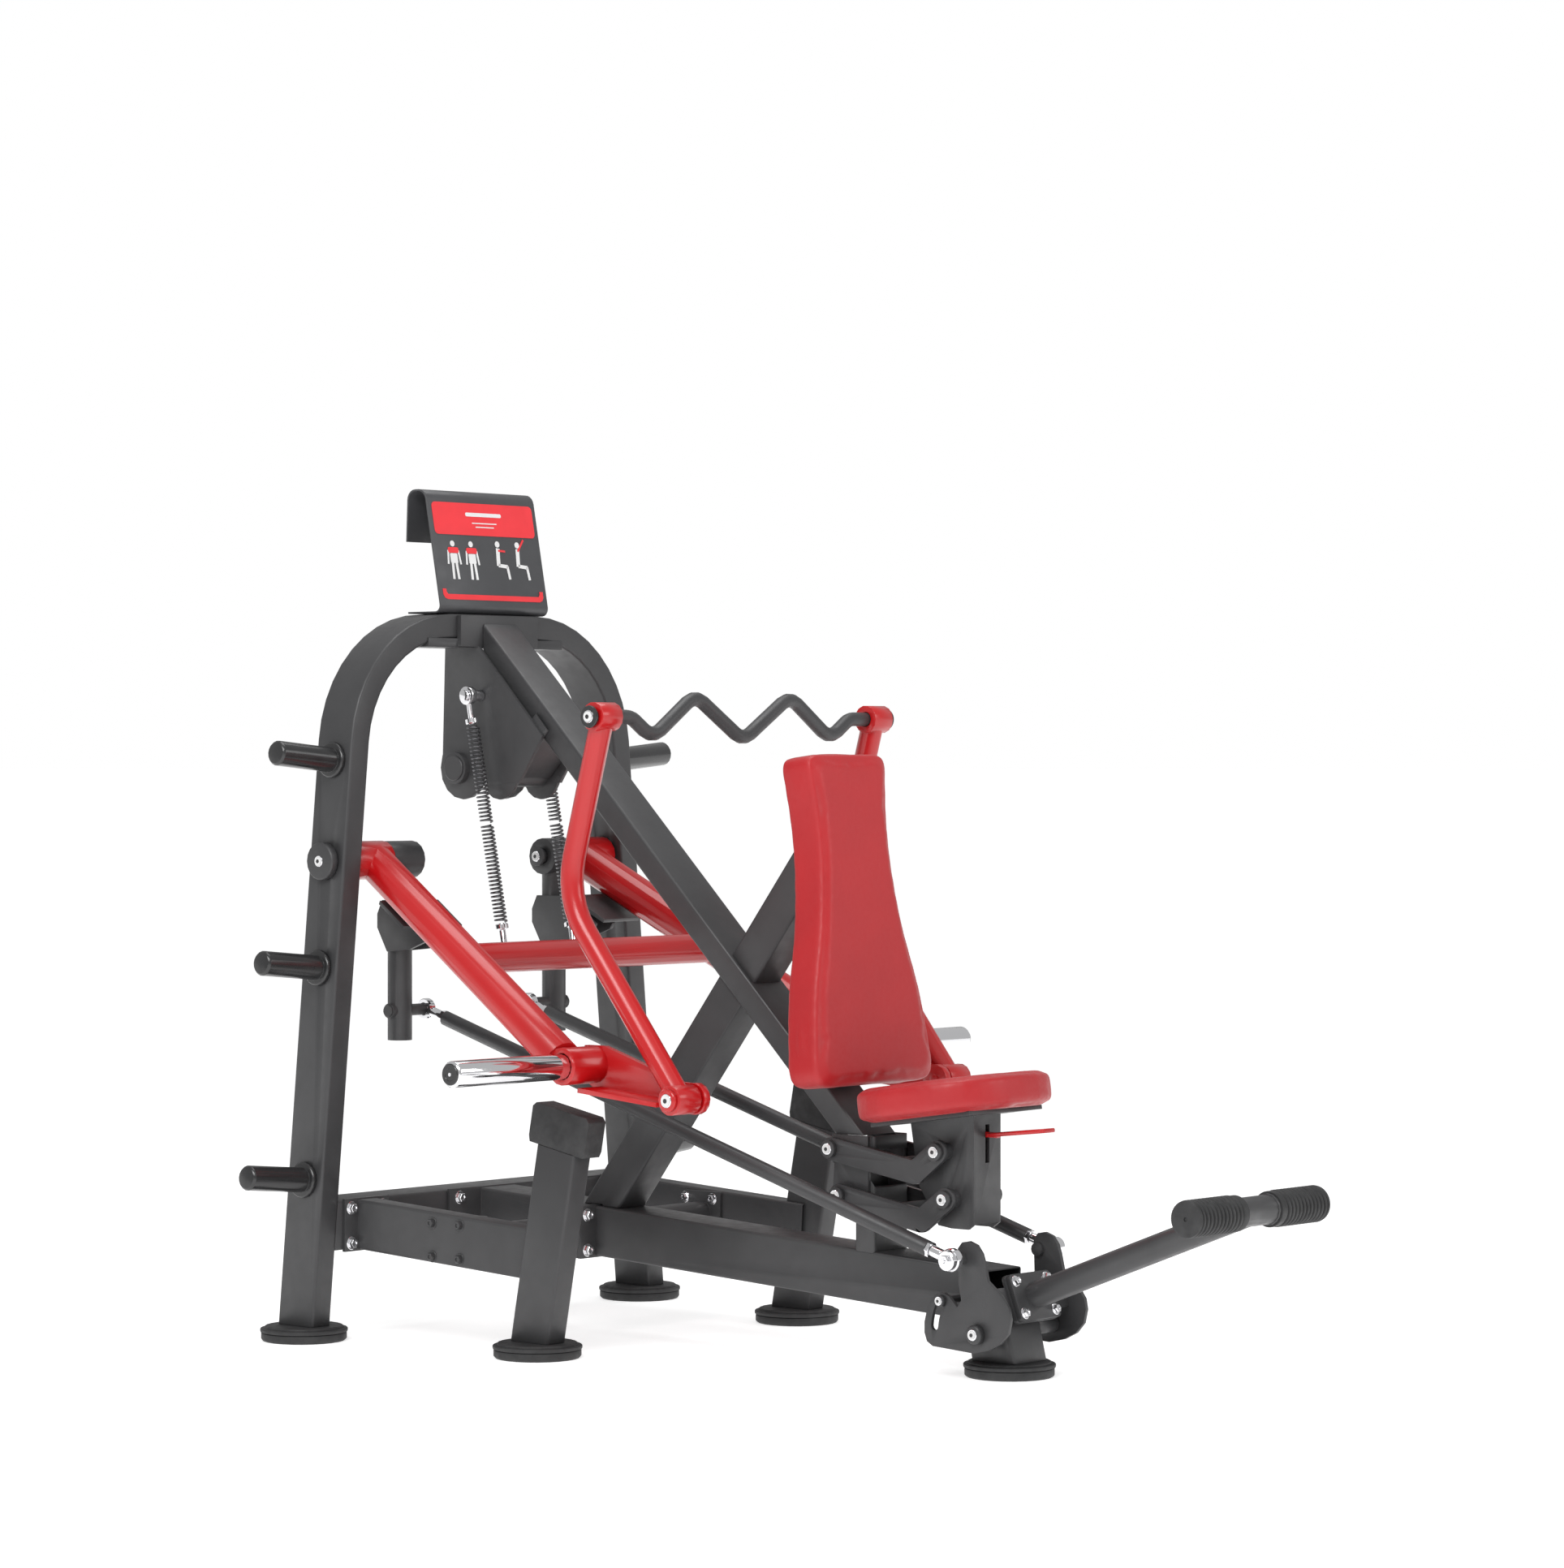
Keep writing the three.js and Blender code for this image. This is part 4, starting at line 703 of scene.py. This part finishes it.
def flange_bolts():
    """Bolts through the base's flanges, with their heads on the front faces."""
    forward = Vector((0, -1, 0))
    for side in SIDES:
        low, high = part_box(f"side_rail_{side}")
        face_y = high.y - FLANGE_THICKNESS
        rail_x = (low.x + high.x) / 2
        mid_z = high.z - FLANGE_MIDDLE_DROP
        places = [
            (Vector((rail_x + dx, face_y, mid_z + dz)), forward)
            for dx in (-0.043, 0.043)
            for dz in (-BOLT_ROW, BOLT_ROW)
        ]
        hex_bolts(f"rail_flange_bolts_{side}", places, 0.017, "frame")
    low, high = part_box("rear_beam")
    face_y = high.y - FLANGE_THICKNESS
    mid_z = high.z - FLANGE_MIDDLE_DROP
    places = [
        (Vector((dx, face_y, mid_z + dz)), forward)
        for dx in (-0.112, 0.112)
        for dz in (-BOLT_ROW, BOLT_ROW)
    ]
    hex_bolts("centre_flange_bolts", places, 0.017, "frame")
    joint_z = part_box("main_beam")[1].z - FLANGE_MIDDLE_DROP
    heads = [
        (Vector((dx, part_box("main_beam")[1].y - FLANGE_THICKNESS, joint_z + dz)), forward)
        for dx in (-0.074, 0.074)
        for dz in (-BOLT_ROW, BOLT_ROW)
    ]
    nuts = [
        (Vector((dx, low.y + FLANGE_THICKNESS, joint_z + dz)), -forward)
        for dx in (-0.074, 0.074)
        for dz in (-BOLT_ROW, BOLT_ROW)
    ]
    hex_bolts("beam_joint_bolts", heads, 0.017, "frame")
    hex_bolts("beam_joint_nuts", nuts, 0.017, "frame")


def cross_tube_bolts():
    """The bolts that hold the two round cross tubes to the side rails."""
    low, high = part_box("rear_beam")
    tube_y = high.y - 0.2566
    for side in SIDES:
        rail_low, rail_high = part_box(f"side_rail_{side}")
        rail_x = (rail_low.x + rail_high.x) / 2
        z = high.z - 0.069
        sign = SIDES[side]
        outer = [
            (Vector((rail_x + sign * 0.025, tube_y + dy, z + dz)), outward(side))
            for dy in (-0.038, 0.038)
            for dz in (-0.033, 0.033)
        ]
        inner = [(Vector((sign * 0.3396, p.y, p.z)), -outward(side)) for p, _ in outer]
        hex_bolts(f"cross_tube_bolts_{side}", outer, 0.015, "frame", POWDER_COAT)
        hex_bolts(f"cross_tube_nuts_{side}", inner, 0.015, "frame")


BAR_ANGLE = radians(20.85)
BAR_ALONG = Vector((0, -cos(BAR_ANGLE), sin(BAR_ANGLE)))
BAR_UP = Vector((0, sin(BAR_ANGLE), cos(BAR_ANGLE)))
BAR_START = PEDAL_PIVOT + Vector((0, -0.024, 0.058))
GRIP_END = 0.198
GRIP_START = 0.0505
GRIP_RADIUS = 0.0340
GRIP_RIBS = 11
GRIP_COLLAR = 0.018


def pedal_bolts():
    face = BAR_START + BAR_ALONG * 0.022
    places = [
        (face + Vector((dx, 0, 0)) + BAR_UP * du, BAR_ALONG)
        for dx in (-0.046, 0.046)
        for du in (-0.031, 0.031)
    ]
    hex_bolts("pedal_flange_bolts", places, 0.014, "pedal")


def add_grips():
    """Ribbed rubber grips pushed over both ends of the foot bar."""
    low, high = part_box("pedal_bar")
    centre = BAR_START + BAR_ALONG * ((low.y + 0.029 - BAR_START.y) / BAR_ALONG.y)
    first = GRIP_START + GRIP_COLLAR
    pitch = (GRIP_END - first - 0.006) / GRIP_RIBS
    for side in SIDES:
        shape = Shape(f"foot_grip_{side}", [RUBBER])
        collar = GRIP_RADIUS - 0.0012
        profile = [(0.0292, GRIP_START), (collar - 0.001, GRIP_START), (collar, GRIP_START + 0.0012)]
        profile += [(collar, first - 0.003), (collar - 0.0012, first - 0.001), (0.0302, first)]
        for rib in range(GRIP_RIBS):
            start = first + pitch * rib
            profile += [
                (0.0302, start + pitch * 0.16),
                (GRIP_RADIUS - 0.0008, start + pitch * 0.30),
                (GRIP_RADIUS, start + pitch * 0.45),
                (GRIP_RADIUS, start + pitch * 0.65),
                (GRIP_RADIUS - 0.0008, start + pitch * 0.80),
                (0.0302, start + pitch * 0.94),
            ]
        profile += [
            (GRIP_RADIUS, GRIP_END - 0.004),
            (GRIP_RADIUS - 0.001, GRIP_END + 0.001),
            (GRIP_RADIUS - 0.005, GRIP_END + 0.003),
            (0.0040, GRIP_END + 0.003),
            (0.0035, GRIP_END + 0.001),
            (0.0005, GRIP_END + 0.001),
        ]
        shape.lathe(at_x(0, centre), outward(side), profile, 0, 44)
        shape.finish("pedal", "rubber")


def rod_end(name, eye, toward, body):
    """A spherical rod end: eye ring, ball, shank and lock nut."""
    along = (toward - eye).normalized()
    across = Vector((1, 0, 0))
    shape = Shape(name, [CHROME])
    ring = [(0.0135, -0.0080), (0.0195, -0.0080), (0.0218, -0.0050)]
    ring += [(0.0218, 0.0050), (0.0195, 0.0080), (0.0135, 0.0080)]
    shape.ring_band(eye, across, ring, 0, 36)
    ball = [(0.0140 * sin(a), -0.0140 * cos(a)) for a in [pi * k / 10 for k in range(2, 9)]]
    ball_band = ball + [(0.0066, 0.0113), (0.0066, -0.0113)]
    shape.ring_band(eye, across, ball_band, 0, 28)
    shank = [(0.0085, 0.0165), (0.0106, 0.022), (0.0106, 0.048), (0.0085, 0.050), (0.0085, 0.052)]
    shape.lathe(eye, along, shank, 0, 24)
    shape.hexagon(eye, along, 0.026, 0.050, 0.060)
    shape.finish(body, "chrome")


def add_rod_ends():
    for side in SIDES:
        x = 0.150 * SIDES[side]
        rear = at_x(x, joint_at(f"rod_{side}_swing"))
        front = at_x(x, ROD_EYE_FRONT)
        rod_end(f"rear_rod_end_{side}", rear, front, f"rod_{side}")
        rod_end(f"front_rod_end_{side}", front, rear, f"rod_{side}")


# ---------- placard ----------
def placard_frame():
    """The printed face's lower edge, its two directions and its height, read from the largest flat face."""
    mesh = frame["nodes"]["placard"].data
    fronts = [polygon for polygon in mesh.polygons if polygon.normal.y < -0.7]
    face = max(fronts, key=lambda polygon: polygon.area)
    normal = face.normal.copy()
    right = Vector((1, 0, 0))
    up = normal.cross(right).normalized()
    level = [polygon for polygon in fronts if polygon.normal.angle(normal) < radians(1)]
    heights = [mesh.vertices[index].co.dot(up) for polygon in level for index in polygon.vertices]
    centre = Vector((0, face.center.y, face.center.z))
    bottom = centre + up * (min(heights) - centre.dot(up))
    return bottom + normal * 0.0004, right, up, max(heights) - min(heights)


def rounded(left, low, right, high, radius, steps=5):
    corners = [(right - radius, high - radius, 0), (left + radius, high - radius, 1)]
    corners += [(left + radius, low + radius, 2), (right - radius, low + radius, 3)]
    points = []
    for x, y, quarter in corners:
        for step in range(steps + 1):
            angle = pi / 2 * (quarter + step / steps)
            points.append((x + radius * cos(angle), y + radius * sin(angle)))
    return points


def disc(x, y, radius, steps=18):
    angles = [2 * pi * i / steps for i in range(steps)]
    return [(x + radius * cos(angle), y + radius * sin(angle)) for angle in angles]


def limb(start, end, width):
    """A straight limb as a thin quadrilateral."""
    along = Vector(end) - Vector(start)
    side = Vector((-along.y, along.x)).normalized() * width / 2
    a, b = Vector(start), Vector(end)
    return [tuple(a - side), tuple(b - side), tuple(b + side), tuple(a + side)]


def standing_figure(x, base, scale):
    s = scale
    pale = [
        disc(x, base + 0.062 * s, 0.0052 * s),
        rounded(x - 0.0085 * s, base + 0.028 * s, x + 0.0085 * s, base + 0.045 * s, 0.002 * s, 3),
        limb((x - 0.0045 * s, base + 0.028 * s), (x - 0.0060 * s, base), 0.0052 * s),
        limb((x + 0.0045 * s, base + 0.028 * s), (x + 0.0060 * s, base), 0.0052 * s),
        limb((x - 0.0120 * s, base + 0.050 * s), (x - 0.0150 * s, base + 0.026 * s), 0.0038 * s),
        limb((x + 0.0120 * s, base + 0.050 * s), (x + 0.0150 * s, base + 0.026 * s), 0.0038 * s),
    ]
    red = [rounded(x - 0.0125 * s, base + 0.0455 * s, x + 0.0125 * s, base + 0.0555 * s, 0.003 * s, 3)]
    return pale, red


def seated_figure(x, base, scale, raised):
    s = scale
    hand = 0.074 if raised else 0.052
    pale = [
        disc(x, base + 0.064 * s, 0.0055 * s),
        limb((x, base + 0.057 * s), (x - 0.003 * s, base + 0.026 * s), 0.0085 * s),
        limb((x - 0.003 * s, base + 0.027 * s), (x + 0.019 * s, base + 0.025 * s), 0.0062 * s),
        limb((x + 0.018 * s, base + 0.026 * s), (x + 0.021 * s, base + 0.003 * s), 0.0054 * s),
    ]
    red = [limb((x, base + 0.053 * s), (x + 0.017 * s, base + hand * s), 0.0036 * s)]
    return pale, red


def upturned_stripe(half, low, rise, width):
    """A stripe along the bottom edge whose two ends turn up round the corners."""
    outer = [(-half, low + rise), (-half, low + 0.010), (-half + 0.004, low + 0.003), (-half + 0.012, low)]
    inner = [(-half + width, low + rise), (-half + width, low + 0.016)]
    inner += [(-half + width + 0.004, low + width + 0.001)]
    left = outer + [(half - 0.012, low), (half - 0.004, low + 0.003), (half, low + 0.010), (half, low + rise)]
    back = [(-x, y) for x, y in inner] + inner[::-1]
    return left + back


def add_placard_print():
    """Plain bands and simple figures in place of the printed panel."""
    origin, right, up, height = placard_frame()
    half = 0.146
    shape = Shape("placard_print", [PRINT_RED, PRINT_WHITE])
    lift = 0.0006
    top = height - 0.006
    shape.slab(origin, right, up, rounded(-half, height * 0.665, half, top, 0.010), lift, 0)
    shape.slab(origin, right, up, upturned_stripe(half, 0.010, 0.022, 0.010), lift, 0)
    raised = origin + right.cross(up).normalized() * lift
    band = (height * 0.665 + top) / 2
    for width, offset, tall in ((0.052, 0.010, 0.008), (0.036, -0.008, 0.0022), (0.027, -0.016, 0.0022)):
        bar = rounded(-width, band + offset - tall / 2, width, band + offset + tall / 2, tall * 0.45, 3)
        shape.slab(raised, right, up, bar, lift / 2, 1)
    base = height * 0.24
    figures = [standing_figure(-0.101, base, 1.2), standing_figure(-0.048, base, 1.2)]
    figures += [seated_figure(0.030, base, 1.2, False), seated_figure(0.088, base, 1.2, True)]
    for pale, red in figures:
        for outline in pale:
            shape.slab(origin, right, up, outline, lift, 1)
        for outline in red:
            shape.slab(origin, right, up, outline, lift * 1.4, 0)
    shape.finish("frame", "placard")


# ---------- feet ----------
def add_foot_rings():
    """The stepped rim moulded round each foot."""
    for name in ("rear_foot_right", "rear_foot_left", "side_foot_right", "side_foot_left", "front_foot"):
        low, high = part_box(name)
        centre = Vector(((low.x + high.x) / 2, (low.y + high.y) / 2, 0))
        shape = Shape(f"{name}_rim", [RUBBER])
        rim = [(0.0788, 0.0185), (0.0862, 0.0180), (0.0868, 0.0195)]
        rim += [(0.0868, 0.0235), (0.0855, 0.0250), (0.0788, 0.0255)]
        shape.ring_band(centre, Vector((0, 0, 1)), rim, 0, 64)
        shape.finish("frame", "rubber")


finish_cad_nodes()
add_pads()
add_springs()
add_pivot_caps()
add_sleeve_plugs()
flange_bolts()
cross_tube_bolts()
pedal_bolts()
add_grips()
add_rod_ends()
add_placard_print()
add_foot_rings()
